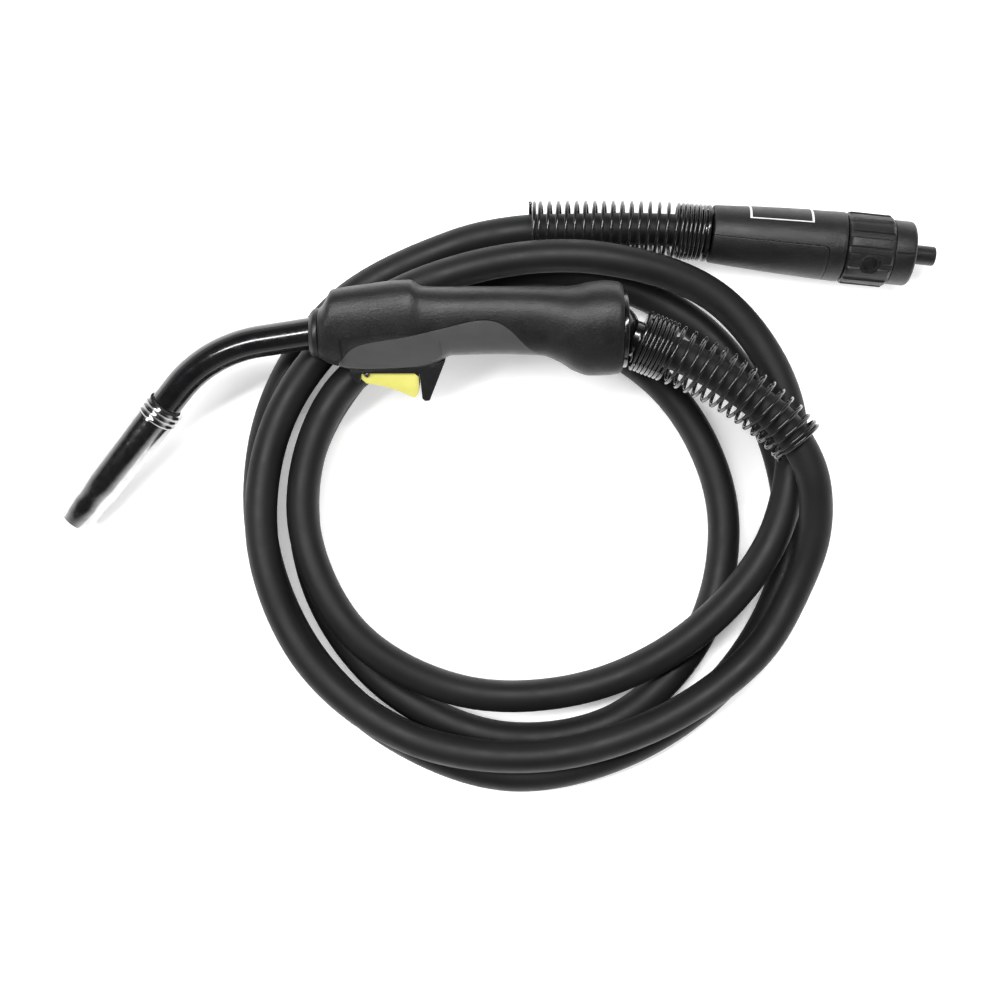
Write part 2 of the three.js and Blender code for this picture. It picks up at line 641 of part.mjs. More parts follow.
class NozzleSpringLine extends THREE.Curve {
  getPoint(t, target = new THREE.Vector3()) {
    const radius = NOZZLE_BORE_R - 0.25 - NOZZLE_SPRING_WIRE / 2;
    const angle = 2 * Math.PI * 3 * t;
    return target.set(9.4 + 7.2 * t, radius * Math.cos(angle), radius * Math.sin(angle));
  }
}

function nozzleSpring() {
  const line = new NozzleSpringLine();
  line.arcLengthDivisions = 72;
  return swept(roundSection(NOZZLE_SPRING_WIRE / 2, 5), line, 36);
}

function gasDiffuser() {
  const slim = NECK_TUBE_R;
  const from = TUBE_OVERRUN + 0.4;
  const body = turned([
    [LINER_BORE_R, from], [slim, from], [slim, INSULATOR_L + GAP], [DIFFUSER_R, INSULATOR_L + GAP],
    [DIFFUSER_R, DIFFUSER_END - 8], [DIFFUSER_R - 2, DIFFUSER_END], [LINER_BORE_R, DIFFUSER_END],
  ], 18);
  const holes = [];
  for (let k = 0; k < DIFFUSER_HOLES; k += 1) {
    const hole = new THREE.CylinderGeometry(1.3, 1.3, 12, 8).translate(0, 8, 0);
    holes.push(hole.rotateX((2 * Math.PI * k) / DIFFUSER_HOLES).translate(44, 0, 0));
  }
  return cut(body, ...holes);
}

function contactTip() {
  const end = NOZZLE_LENGTH - TIP_RECESS;
  return turned([
    [0.8, DIFFUSER_END + GAP], [TIP_R, DIFFUSER_END + GAP], [TIP_R, end - 7], [TIP_R - 1.6, end], [0.8, end],
  ], 20);
}

// ---- connector ----
function housingRadius(a) {
  const [from, to] = HOUSING_A;
  return THREE.MathUtils.mapLinear(a, from, to, HOUSING_R[0], HOUSING_R[1]);
}

function housingTube() {
  const [from, to] = HOUSING_A;
  const bulge = 0.5;
  const outer = [0, 0.03, 0.25, 0.5, 0.75, 0.97, 1].map((t) => {
    const a = THREE.MathUtils.lerp(from, to, t);
    const round = t === 0 || t === 1 ? 0.8 : 0;
    return [housingRadius(a) + bulge * Math.sin(Math.PI * t) - round, a];
  });
  const inner = [to, from + HOUSING_WALL, from].map((a, k) => [
    k === 0 ? HOUSING_R[1] - HOUSING_WALL : k === 1 ? HOUSING_R[0] - HOUSING_WALL : PLUG_BORE_R, a,
  ]);
  return turned([...outer, inner[0], inner[1], [PLUG_BORE_R, from + HOUSING_WALL], inner[2]], 20);
}

const PLUG_SCREWS = [24, 66];

function plugScrewAxis(tool, a) {
  return tool.rotateX(-Math.PI / 2).translate(a, 0, 0);
}

function plugBossOffset(a) {
  return -(housingRadius(a) - HOUSING_WALL - 2.4);
}

function coverRegion(grow) {
  return box([HOUSING_A[0] - 10, -60, -60], [COVER_END + grow, grow, 60]);
}

function plugHousingPiece(cover) {
  const tube = housingTube();
  const bosses = PLUG_SCREWS.map((a) => common(
    crossRod(3.4, [0, 0], -30, 30).rotateX(Math.PI / 2).translate(a, 0, plugBossOffset(a)),
    ring(BODY_R + 1.2, housingRadius(a), HOUSING_A[0] + 0.4, HOUSING_END - 0.8, 20),
  ));
  const whole = join(tube, ...bosses);
  const holes = PLUG_SCREWS.map((a) => crossRod(1.5, [0, 0], -9, 30).rotateX(Math.PI / 2)
    .translate(a, 0, plugBossOffset(a)));
  const counterbores = PLUG_SCREWS.map((a) => crossRod(2.8, [0, 0], 5, 40).rotateX(Math.PI / 2)
    .translate(a, 0, plugBossOffset(a)));
  const drilled = cut(whole, ...holes, ...counterbores);
  const piece = cover ? common(drilled, coverRegion(-SPLIT / 2)) : cut(drilled, coverRegion(SPLIT / 2));
  return piece.rotateX(degrees(COVER_TURN));
}

function plugScrew(a) {
  const shank = crossRod(1.2, [0, 0], -7, 5.6);
  const head = crossRod(2.5, [0, 0], 5.3, 7.2);
  return join(shank, head).rotateX(Math.PI / 2)
    .translate(a, 0, plugBossOffset(a))
    .rotateX(degrees(COVER_TURN));
}

function plugSpringSeat() {
  const stub = PLUG_SPRING_OD[0] / 2 - SPRING_WIRE - STUB_CLEARANCE;
  return turned([
    [PLUG_BORE_R, -14], [stub - 1, -14], [stub, -13], [stub, -1.4], [HOUSING_R[0] - 0.4, -1.4],
    [HOUSING_R[0], -0.8], [HOUSING_R[0], 2.4], [HOUSING_R[0] - 0.4, 2.8], [PLUG_BORE_R, 2.8],
  ], 20);
}

function crimpSleeve() {
  return ring(CABLE_D / 2 + 2 * GAP, BODY_R, ...CRIMP_A);
}

function connectorBody() {
  const from = CRIMP_A[1] + 1;
  const shoulder = from + 13;
  const flangeR = NUT_BORE_R - GAP;
  const flangeEnd = BODY_FLANGE_AT + BODY_FLANGE_T;
  return turned([
    [0, from], [9, from], [9, shoulder], [BODY_R, shoulder], [BODY_R, BODY_FLANGE_AT],
    [flangeR, BODY_FLANGE_AT], [flangeR, flangeEnd], [BODY_R, flangeEnd], [BODY_R, BODY_END], [0, BODY_END],
  ], 18);
}

function withControlPinHoles(body) {
  const bottom = BODY_END - CONTROL_PIN_SUNK - 3;
  const holes = [-1, 1].map((side) => rod(CONTROL_PIN_R + GAP, bottom, bottom + 48, 12)
    .translate(0, 0, side * CONTROL_PIN_AT));
  return cut(body, ...holes);
}

function insulatingFace() {
  const [bore, outside, from] = [CENTRE_PIN_R + GAP, BODY_R - 0.4, BODY_END + GAP];
  const face = turned([
    [bore, from], [outside, from], [outside, FACE_END - 0.8], [outside - 0.8, FACE_END], [bore, FACE_END],
  ], 18);
  return withControlPinHoles(face);
}

function centrePin() {
  const groove = CENTRE_PIN_R - 1.3;
  const from = BODY_END + GAP;
  const end = CENTRE_PIN_END - 1.4;
  const [rear, front] = [CENTRE_PIN_END - 6, CENTRE_PIN_END - 3.4];
  return turned([
    [2.2, from], [CENTRE_PIN_R, from], [CENTRE_PIN_R, rear], [groove, rear], [groove, front],
    [CENTRE_PIN_R, front], [CENTRE_PIN_R, end - 1], [CENTRE_PIN_R - 1, end], [2.2, end],
  ], 18);
}

function sealRing() {
  const [middle, radius, at] = [CENTRE_PIN_R - 0.1, 0.8, CENTRE_PIN_END - 4.7];
  const section = Array.from({ length: 6 }, (_, k) => {
    const angle = (2 * Math.PI * k) / 6;
    return [middle + radius * Math.cos(angle), at + radius * Math.sin(angle)];
  });
  return turned(section, 16);
}

function linerNut() {
  return ring(1.2, 3.6, CENTRE_PIN_END - 1.1, CENTRE_PIN_END + 1.1, 6);
}

function controlPin(side) {
  const from = BODY_END - CONTROL_PIN_SUNK;
  const end = from + CONTROL_PIN_L;
  const pin = turned([
    [0, from], [CONTROL_PIN_R, from], [CONTROL_PIN_R, end - 1], [CONTROL_PIN_R - 0.8, end], [0, end],
  ], 12);
  return pin.translate(0, 0, side * CONTROL_PIN_AT);
}

function handNut() {
  const [from, to] = [NUT_FROM, NUT_FROM + NUT_L];
  const body = turned([
    [NUT_LIP_R, from], [NUT_R - 1.2, from], [NUT_R, from + 1.2], [NUT_R, to - 1.2], [NUT_R - 1.2, to],
    [NUT_BORE_R, to], [NUT_BORE_R, from + NUT_SEAT], [NUT_LIP_R, from + NUT_SEAT],
  ], 20);
  const ribs = [];
  for (let k = 0; k < NUT_RIBS; k += 1) {
    const rib = box([from + 1, NUT_R - 1.4, -NUT_RIB_W / 2], [to - 1, NUT_R + NUT_RIB_H, NUT_RIB_W / 2]);
    ribs.push(rib.rotateX((2 * Math.PI * (k + 0.5)) / NUT_RIBS));
  }
  const holes = [[7.5, NUT_R - 0.6, 8], [5.1, NUT_R - 3.4, 20]].map(([radius, bottom, sides]) => (
    rod(radius, bottom, 40, sides).rotateY(-Math.PI / 2)
      .translate((from + to) / 2, 0, 0)
      .rotateX(degrees(NUT_HOLE_TURN))
  ));
  return cut(join(body, ...ribs), ...holes);
}

function protectiveCap() {
  const [from, end] = [CAP_FROM, CAP_END];
  const noseEnd = end + CAP_NOSE_L;
  const outside = NUT_BORE_R - GAP;
  const inside = outside - CAP_SKIRT_WALL;
  return turned([
    [inside, from], [outside, from], [outside, CAP_COLLAR_AT], [CAP_R - 1, CAP_COLLAR_AT],
    [CAP_R, CAP_COLLAR_AT + 1], [CAP_R, end - 3], [CAP_R - 0.9, end - 0.9], [CAP_R - 3, end],
    [CAP_NOSE_R, end],
    [CAP_NOSE_R, noseEnd - 1.5], [CAP_NOSE_R - 1.5, noseEnd], [0, noseEnd],
    [0, end - 2.4], [inside, end - 2.4],
  ], 20);
}

// ---- assembly ----
function add(parent, name, geometry, look) {
  const mesh = new THREE.Mesh(geometry, look);
  mesh.name = name;
  parent.add(mesh);
}

function groupAt(place) {
  const group = new THREE.Group();
  group.position.set(...place);
  return group;
}

function cableGroup() {
  const group = new THREE.Group();
  const line = new THREE.CatmullRomCurve3(CABLE_ROUTE.map((place) => new THREE.Vector3(...place)));
  line.arcLengthDivisions = 1000;
  add(group, "cable", swept(roundSection(CABLE_D / 2, CABLE_SIDES), line, CABLE_STEPS), LOOKS.rubber);
  const seatEnd = SEAT_FLANGE_AT + SEAT_FLANGE_T + GAP;
  const handleBase = springBase(
    alongFrom(BALL_CENTRE, SEAT_ANGLE, seatEnd), SEAT_ANGLE, HANDLE_SPRING_END, HANDLE_SPRING_END_ANGLE,
  );
  add(group, "handle_spring", spring(handleBase, HANDLE_SPRING_OD, HANDLE_SPRING_TURNS), LOOKS.springSteel);
  const plugBase = springBase(
    alongFrom(PLUG_ORIGIN, PLUG_ANGLE, -1.4 - GAP), 180 + PLUG_ANGLE, PLUG_SPRING_END, 180,
  );
  add(group, "plug_spring", spring(plugBase, PLUG_SPRING_OD, PLUG_SPRING_TURNS), LOOKS.springSteel);
  return group;
}

function seatGroup() {
  const group = groupAt(BALL_CENTRE);
  group.rotation.z = degrees(SEAT_ANGLE);
  add(group, "spring_seat", springSeat(), LOOKS.blackGloss);
  return group;
}

function plugGroup() {
  const group = groupAt(PLUG_ORIGIN);
  group.rotation.z = degrees(PLUG_ANGLE);
  add(group, "plug_spring_seat", plugSpringSeat(), LOOKS.blackGloss);
  add(group, "plug_housing", plugHousingPiece(false), LOOKS.handleBlack);
  add(group, "plug_cover", plugHousingPiece(true), LOOKS.handleBlack);
  PLUG_SCREWS.forEach((a, k) => add(group, `plug_screw_${k + 1}`, plugScrew(a), LOOKS.steel));
  add(group, "cable_crimp", crimpSleeve(), LOOKS.copper);
  add(group, "connector_body", withControlPinHoles(connectorBody()), LOOKS.brass);
  add(group, "connector_face", insulatingFace(), LOOKS.blackGloss);
  add(group, "centre_pin", centrePin(), LOOKS.brass);
  add(group, "centre_pin_seal", sealRing(), LOOKS.rubber);
  add(group, "liner_nut", linerNut(), LOOKS.brass);
  add(group, "control_pin_upper", controlPin(1), LOOKS.brass);
  add(group, "control_pin_lower", controlPin(-1), LOOKS.brass);
  add(group, "hand_nut", handNut(), LOOKS.handleBlack);
  add(group, "protective_cap", protectiveCap(), LOOKS.handleBlack);
  return group;
}

function handleParts(torch) {
  add(torch, "handle_shell_left", handleShell(-1), LOOKS.handleBlack);
  add(torch, "handle_shell_right", handleShell(1), LOOKS.handleBlack);
  add(torch, "grip_insert_left", gripInsert(-1), LOOKS.grip);
  add(torch, "grip_insert_right", gripInsert(1), LOOKS.grip);
  SCREW_PLACES.forEach((place, k) => add(torch, `handle_screw_${k + 1}`, screw(place), LOOKS.steel));
  add(torch, "socket_ring", socketRing(), LOOKS.blackGloss);
  add(torch, "core_lead", coreLead(), LOOKS.rubber);
  add(torch, "front_collar", collar(), LOOKS.handleBlack);
  add(torch, "trigger_frame", triggerFrame(), LOOKS.handleBlack);
  const pinHalf = FRAME_HALF_WIDTH - 0.4;
  add(torch, "trigger_pin", crossRod(TRIGGER_PIN_R, TRIGGER_PIVOT, -pinHalf, pinHalf, 16), LOOKS.steel);
  add(torch, "trigger", trigger(), LOOKS.yellow);
  add(torch, "switch_plunger", plunger(), LOOKS.insulator);
  add(torch, "switch_body", switchBody(), LOOKS.blackGloss);
}

function neckParts(torch) {
  const neck = groupAt([...NECK_FOOT, 0]);
  neck.rotation.z = -degrees(NECK_TILT);
  const coverStart = -NECK_STRAIGHT - NECK_IN_HANDLE;
  const tubeStart = BLOCK_X[1] - NECK_STRAIGHT - 28;
  const tubeEnd = NOZZLE_PLANE + TUBE_OVERRUN;
  add(neck, "neck_cover", neckPiece(NECK_R, NECK_BORE_R, coverStart, NOZZLE_PLANE - 1, 16), LOOKS.blackGloss);
  add(neck, "neck_tube", neckPiece(NECK_TUBE_R, NECK_TUBE_BORE_R, tubeStart, tubeEnd, 16), LOOKS.copper);
  add(neck, "wire_liner", neckPiece(LINER_R, LINER_BORE_R, tubeStart, tubeEnd - 1, 8), LOOKS.steel);
  add(neck, "neck_block", neckBlock(), LOOKS.brass);
  neck.add(nozzleGroup());
  torch.add(neck);
}

function nozzleGroup() {
  const end = groupAt(neckPoint(NOZZLE_PLANE).toArray());
  end.rotation.z = -degrees(NECK_BEND);
  add(end, "nozzle_insulator", nozzleInsulator(), LOOKS.insulator);
  add(end, "nozzle_spring", nozzleSpring(), LOOKS.steel);
  add(end, "gas_diffuser", gasDiffuser(), LOOKS.brass);
  add(end, "contact_tip", contactTip(), LOOKS.copper);
  add(end, "gas_nozzle", gasNozzle(), LOOKS.chrome);
  return end;
}

// Turns the torch's u, v, w into the table's frame: nose along -X, trigger side rolled down.
function attitude(roll) {
  const turn = (x, y, z, angle) => new THREE.Quaternion().setFromAxisAngle(new THREE.Vector3(x, y, z), angle);
  return turn(0, 1, 0, -degrees(PITCH)).multiply(turn(1, 0, 0, roll)).multiply(turn(0, 1, 0, Math.PI));
}

function tipHeight(roll) {
  const turn = attitude(roll);
  const droop = degrees(NECK_TILT + NECK_BEND);
  const slope = new THREE.Vector3(Math.cos(droop), -Math.sin(droop), 0).applyQuaternion(turn).z;
  const centre = neckPoint(NOZZLE_PLANE + NOZZLE_LENGTH)
    .applyAxisAngle(new THREE.Vector3(0, 0, 1), -degrees(NECK_TILT))
    .add(new THREE.Vector3(...NECK_FOOT, 0))
    .applyQuaternion(turn);
  return BALL_CENTRE[2] + centre.z - NOZZLE_TIP_R * Math.sqrt(1 - slope * slope);
}

// The roll that brings the nozzle's tip down to the table, by halving.
function restingRoll() {
  let [low, high] = [0, degrees(60)];
  for (let k = 0; k < 40; k += 1) {
    const middle = (low + high) / 2;
    if (tipHeight(middle) > 0) low = middle;
    else high = middle;
  }
  return low;
}

function torchGroup() {
  const torch = groupAt(BALL_CENTRE);
  torch.quaternion.copy(attitude(restingRoll()));
  handleParts(torch);
  neckParts(torch);
  return torch;
}

function swivelGroup() {
  const group = groupAt(BALL_CENTRE);
  add(group, "swivel_ball", swivelBall(), LOOKS.blackGloss);
  return group;
}

const model = new THREE.Group();
model.add(cableGroup(), seatGroup(), plugGroup(), swivelGroup(), torchGroup());

export default model;
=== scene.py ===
import json
import math

import bmesh
import bpy
from mathutils import Matrix, Vector


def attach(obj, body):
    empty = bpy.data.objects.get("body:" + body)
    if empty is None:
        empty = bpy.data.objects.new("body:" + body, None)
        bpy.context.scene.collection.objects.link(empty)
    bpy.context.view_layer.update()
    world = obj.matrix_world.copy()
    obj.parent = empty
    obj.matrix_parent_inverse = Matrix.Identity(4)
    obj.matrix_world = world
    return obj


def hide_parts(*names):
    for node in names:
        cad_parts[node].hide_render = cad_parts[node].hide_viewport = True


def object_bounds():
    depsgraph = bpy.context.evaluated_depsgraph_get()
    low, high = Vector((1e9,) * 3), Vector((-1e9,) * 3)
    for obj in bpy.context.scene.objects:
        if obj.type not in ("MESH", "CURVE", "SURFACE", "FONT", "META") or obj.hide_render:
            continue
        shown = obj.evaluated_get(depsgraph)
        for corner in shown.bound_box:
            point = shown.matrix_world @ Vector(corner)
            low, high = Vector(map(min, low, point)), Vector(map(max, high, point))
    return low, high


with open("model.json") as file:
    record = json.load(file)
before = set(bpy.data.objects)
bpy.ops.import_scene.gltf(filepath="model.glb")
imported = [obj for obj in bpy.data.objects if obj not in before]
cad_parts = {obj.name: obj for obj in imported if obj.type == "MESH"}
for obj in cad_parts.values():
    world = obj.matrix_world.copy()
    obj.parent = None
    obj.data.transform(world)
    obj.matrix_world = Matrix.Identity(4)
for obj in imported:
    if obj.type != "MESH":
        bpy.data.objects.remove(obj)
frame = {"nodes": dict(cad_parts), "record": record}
CAD_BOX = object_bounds()
MM = 0.001


# ---- the places of the assemblies, in millimetres, as the CAD has them ----
def turned_about(axis, degrees):
    return Matrix.Rotation(math.radians(degrees), 4, axis)


BALL_CENTRE = (184, 51, 68.5)
SEAT_HEADING = -21
SEAT = Matrix.Translation(BALL_CENTRE) @ turned_about("Z", SEAT_HEADING)
PLUG_HEADING = -5.8
PLUG = Matrix.Translation((252.53, 124.2, 25.1)) @ turned_about("Z", PLUG_HEADING)
TORCH = (
    Matrix.Translation(BALL_CENTRE)
    @ turned_about("Y", -0.5)
    @ turned_about("X", 22.7300)
    @ turned_about("Y", 180)
)
HANDLE_LENGTH = 197
NECK = TORCH @ Matrix.Translation((HANDLE_LENGTH, -1.08, 0)) @ turned_about("Z", -9)
NECK_BEND = 41
NECK_BEND_R = 97
NECK_STRAIGHT = 40.5
NECK_TAIL = 15
BEND_LENGTH = math.radians(NECK_BEND) * NECK_BEND_R
NOZZLE_PLANE = BEND_LENGTH + NECK_TAIL


def neck_point(s):
    if s <= 0:
        return Vector((NECK_STRAIGHT + s, 0, 0))
    angle = min(s, BEND_LENGTH) / NECK_BEND_R
    beyond = max(s - BEND_LENGTH, 0)
    return Vector((
        NECK_STRAIGHT + NECK_BEND_R * math.sin(angle) + beyond * math.cos(angle),
        -NECK_BEND_R * (1 - math.cos(angle)) - beyond * math.sin(angle),
        0,
    ))


NOZZLE = NECK @ Matrix.Translation(neck_point(NOZZLE_PLANE)) @ turned_about("Z", -NECK_BEND)


# ---- camera ----
camera_data = bpy.data.cameras.new("camera")
camera_data.lens = 50
camera_data.sensor_width = 36
camera_data.clip_end = 10
camera = bpy.data.objects.new("camera", camera_data)
bpy.context.collection.objects.link(camera)
camera.location = (0.108, -0.063, 1.0)
bpy.context.scene.camera = camera


# ---- node materials ----
class Shader:
    """A Principled material with short calls for the nodes that feed it."""

    def __init__(self, name, color, roughness, metallic=0.0, **sockets):
        self.material = bpy.data.materials.new(name)
        self.material.use_nodes = True
        self.tree = self.material.node_tree
        self.bsdf = self.tree.nodes["Principled BSDF"]
        self.set("Base Color", (*color, 1))
        self.set("Roughness", roughness)
        self.set("Metallic", metallic)
        for socket, value in sockets.items():
            self.set(socket.replace("_", " "), value)
        self.place = self.node("ShaderNodeTexCoord").outputs["Object"]

    def set(self, socket, value):
        self.bsdf.inputs[socket].default_value = value

    def node(self, kind, **settings):
        made = self.tree.nodes.new(kind)
        for key, value in settings.items():
            setattr(made, key, value)
        return made

    def link(self, source, target):
        self.tree.links.new(source, target)

    def noise(self, scale, detail=4.0, stretch=(1, 1, 1), rough=0.55):
        mapping = self.node("ShaderNodeMapping")
        mapping.inputs["Scale"].default_value = stretch
        self.link(self.place, mapping.inputs["Vector"])
        made = self.node("ShaderNodeTexNoise")
        made.inputs["Scale"].default_value = scale
        made.inputs["Detail"].default_value = detail
        made.inputs["Roughness"].default_value = rough
        self.link(mapping.outputs["Vector"], made.inputs["Vector"])
        return made.outputs["Fac"]

    def cells(self, scale, feature="F1"):
        made = self.node("ShaderNodeTexVoronoi", feature=feature)
        made.inputs["Scale"].default_value = scale
        self.link(self.place, made.inputs["Vector"])
        return made.outputs["Distance"]

    def ramp(self, source, *stops):
        made = self.node("ShaderNodeValToRGB")
        elements = made.color_ramp.elements
        while len(elements) < len(stops):
            elements.new(0.5)
        for element, (at, value) in zip(elements, stops):
            element.position = at
            element.color = (*value, 1) if isinstance(value, tuple) else (value, value, value, 1)
        self.link(source, made.inputs["Fac"])
        return made.outputs["Color"]

    def mix(self, factor, a, b, blend="MIX"):
        made = self.node("ShaderNodeMix", data_type="RGBA", blend_type=blend)
        for socket, value in ((0, factor), (6, a), (7, b)):
            if isinstance(value, (float, int)):
                made.inputs[socket].default_value = value
            elif isinstance(value, tuple):
                made.inputs[socket].default_value = (*value, 1)
            else:
                self.link(value, made.inputs[socket])
        return made.outputs[2]

    def color(self, source):
        self.link(source, self.bsdf.inputs["Base Color"])

    def roughness(self, source):
        self.link(source, self.bsdf.inputs["Roughness"])

    def bump(self, *layers):
        """Each layer is (height source, distance in metres, strength)."""
        normal = None
        for source, distance, strength in layers:
            made = self.node("ShaderNodeBump")
            made.inputs["Distance"].default_value = distance
            made.inputs["Strength"].default_value = strength
            self.link(source, made.inputs["Height"])
            if normal is not None:
                self.link(normal, made.inputs["Normal"])
            normal = made.outputs["Normal"]
        self.link(normal, self.bsdf.inputs["Normal"])


def cable_rubber():
    m = Shader("cable_rubber", (0.03, 0.03, 0.031), 0.42, Specular_IOR_Level=0.34)
    patches = m.noise(14, 5)
    scuffs = m.noise(260, 5, rough=0.7)
    base = m.ramp(patches, (0.3, (0.005, 0.005, 0.0053)), (0.7, (0.0095, 0.0095, 0.01)))
    specks = m.ramp(m.cells(180), (0.0, 0.5), (0.035, 0.0))
    dusty = m.mix(specks, base, (0.16, 0.16, 0.16))
    m.color(m.mix(m.ramp(scuffs, (0.62, 0.0), (0.8, 0.3)), dusty, (0.028, 0.028, 0.029)))
    m.roughness(m.ramp(m.noise(60, 4), (0.3, 0.46), (0.75, 0.6)))
    m.bump((m.noise(900, 3), 0.0002, 0.12), (m.noise(70, 2), 0.0006, 0.12))
    return m.material


def textured_shell():
    m = Shader("textured_shell", (0.03, 0.03, 0.031), 0.45, Specular_IOR_Level=0.5)
    grain = m.cells(1000)
    base = m.ramp(m.noise(28, 4), (0.3, (0.0045, 0.0045, 0.005)), (0.75, (0.008, 0.008, 0.0085)))
    m.color(m.mix(m.ramp(grain, (0.0, 0.7), (0.3, 0.0)), base, (0.045, 0.045, 0.047)))
    m.roughness(m.ramp(m.noise(110, 4), (0.3, 0.38), (0.75, 0.5)))
    m.bump((m.noise(750, 3, rough=0.7), 0.0004, 0.5), (grain, 0.0002, 0.4))
    return m.material


def smooth_grip():
    m = Shader("smooth_grip", (0.085, 0.085, 0.088), 0.5, Sheen_Weight=0.12, Sheen_Roughness=0.5)
    m.color(m.ramp(m.noise(22, 4), (0.3, (0.040, 0.040, 0.0415)), (0.75, (0.050, 0.050, 0.0515))))
    m.roughness(m.ramp(m.noise(90, 4), (0.3, 0.42), (0.75, 0.58)))
    m.bump((m.noise(3000, 2), 0.00006, 0.18), (m.noise(55, 2), 0.0003, 0.06))
    return m.material


def gloss_black():
    m = Shader("gloss_black", (0.012, 0.012, 0.013), 0.16, Coat_Weight=0.5, Coat_Roughness=0.08)
    m.color(m.ramp(m.noise(30, 4), (0.3, (0.004, 0.004, 0.0045)), (0.8, (0.009, 0.009, 0.0095))))
    m.roughness(m.ramp(m.noise(160, 5, rough=0.7), (0.35, 0.12), (0.8, 0.34)))
    m.bump((m.noise(420, 3), 0.00012, 0.10), (m.noise(45, 2), 0.0004, 0.06))
    return m.material


def smooth_black():
    m = Shader("smooth_black", (0.01, 0.01, 0.01), 0.42)
    m.color(m.ramp(m.noise(40, 4), (0.3, (0.006, 0.006, 0.0063)), (0.75, (0.011, 0.011, 0.0115))))
    m.roughness(m.ramp(m.noise(140, 4), (0.3, 0.36), (0.75, 0.5)))
    m.bump((m.noise(1600, 2), 0.00006, 0.15))
    return m.material


def spring_enamel():
    m = Shader("spring_enamel", (0.014, 0.014, 0.015), 0.2, Coat_Weight=0.6, Coat_Roughness=0.1)
    worn = m.ramp(m.noise(400, 5, rough=0.75), (0.72, 0.0), (0.82, 0.4))
    m.color(m.mix(worn, (0.007, 0.007, 0.0075), (0.05, 0.05, 0.05)))
    m.roughness(m.ramp(m.noise(300, 3), (0.3, 0.16), (0.75, 0.26)))
    m.bump((m.noise(500, 2), 0.00002, 0.04))
    return m.material


def dark_chrome():
    m = Shader("dark_chrome", (0.5, 0.5, 0.5), 0.12, 1.0)
    streaks = m.noise(55, 5, rough=0.7)
    m.color(m.ramp(streaks, (0.3, (0.42, 0.42, 0.43)), (0.75, (0.66, 0.66, 0.66))))
    m.roughness(m.ramp(m.noise(240, 5, rough=0.75), (0.35, 0.10), (0.8, 0.26)))
    m.bump((m.noise(260, 4, rough=0.6), 0.00035, 0.14), (m.noise(1500, 2), 0.00008, 0.12))
    return m.material


def yellow_plastic():
    m = Shader("yellow_plastic", (0.54, 0.5, 0.13), 0.36, Subsurface_Weight=0.05)
    m.set("Subsurface Radius", (0.002, 0.0015, 0.0004))
    m.color(m.ramp(m.noise(70, 4), (0.3, (0.50, 0.475, 0.115)), (0.75, (0.57, 0.54, 0.15))))
    m.roughness(m.ramp(m.noise(260, 3), (0.3, 0.28), (0.75, 0.44)))
    m.bump((m.noise(1800, 2), 0.00006, 0.15))
    return m.material


def plain_metal(name, light, dark, roughness):
    m = Shader(name, light, roughness, 1.0)
    m.color(m.ramp(m.noise(90, 5, rough=0.7), (0.3, dark), (0.7, light)))
    m.roughness(m.ramp(m.noise(500, 3), (0.3, roughness * 0.7), (0.75, roughness * 1.4)))
    m.bump((m.noise(900, 2), 0.0001, 0.15))
    return m.material


def insulating_plastic():
    m = Shader("insulating_plastic", (0.05, 0.047, 0.045), 0.5)
    m.color(m.ramp(m.noise(60, 4), (0.3, (0.03, 0.029, 0.028)), (0.75, (0.055, 0.052, 0.05))))
    m.bump((m.noise(1200, 2), 0.0001, 0.2))
    return m.material


def soft_rubber():
    m = Shader("soft_rubber", (0.02, 0.02, 0.02), 0.6)
    m.color(m.ramp(m.noise(80, 4), (0.3, (0.015, 0.015, 0.015)), (0.75, (0.03, 0.03, 0.03))))
    m.bump((m.noise(1000, 2), 0.0001, 0.2))
    return m.material


def label_white():
    m = Shader("label_white", (0.8, 0.8, 0.79), 0.3)
    m.color(m.ramp(m.noise(200, 3), (0.3, (0.72, 0.72, 0.71)), (0.75, (0.84, 0.84, 0.83))))
    m.roughness(m.ramp(m.noise(400, 3), (0.3, 0.24), (0.75, 0.38)))
    return m.material


LOOK = {
    "cable": cable_rubber(),
    "black_spring": spring_enamel(),
    "gloss_black": gloss_black(),
    "shell": textured_shell(),
    "smooth_black": smooth_black(),
    "grip": smooth_grip(),
    "yellow": yellow_plastic(),
    "screws": plain_metal("plain_steel", (0.5, 0.5, 0.51), (0.34, 0.34, 0.35), 0.3),
    "brass": plain_metal("turned_brass", (0.74, 0.56, 0.28), (0.58, 0.42, 0.19), 0.28),
    "copper": plain_metal("bare_copper", (0.75, 0.42, 0.28), (0.52, 0.27, 0.17), 0.34),
    "seal": soft_rubber(),
    "insulator": insulating_plastic(),
    "nozzle": dark_chrome(),
    "label": label_white(),
}
for part in frame["record"]["subparts"]:
    node = frame["nodes"][part["node"]]
    node.data.materials.clear()
    node.data.materials.append(LOOK[part["material_slot"]])


# ---- mesh helpers: shapes are made in millimetres in an assembly's own frame ----
def object_of(name, points, faces, place=Matrix.Identity(4)):
    mesh = bpy.data.meshes.new(name)
    mesh.from_pydata([(place @ Vector(p)) * MM for p in points], [], faces)
    made = bpy.data.objects.new(name, mesh)
    bpy.context.collection.objects.link(made)
    clean(made)
    return made


def clean(obj, merge=1e-6):
    work = bmesh.new()
    work.from_mesh(obj.data)
    bmesh.ops.remove_doubles(work, verts=work.verts, dist=merge)
    bmesh.ops.dissolve_degenerate(work, edges=work.edges, dist=merge)
    bmesh.ops.recalc_face_normals(work, faces=work.faces)
    work.to_mesh(obj.data)
    work.free()


def applied(obj):
    """The object with its modifiers made part of its mesh."""
    shown = obj.evaluated_get(bpy.context.evaluated_depsgraph_get())
    mesh = bpy.data.meshes.new_from_object(shown)
    obj.modifiers.clear()
    obj.data = mesh
    return obj


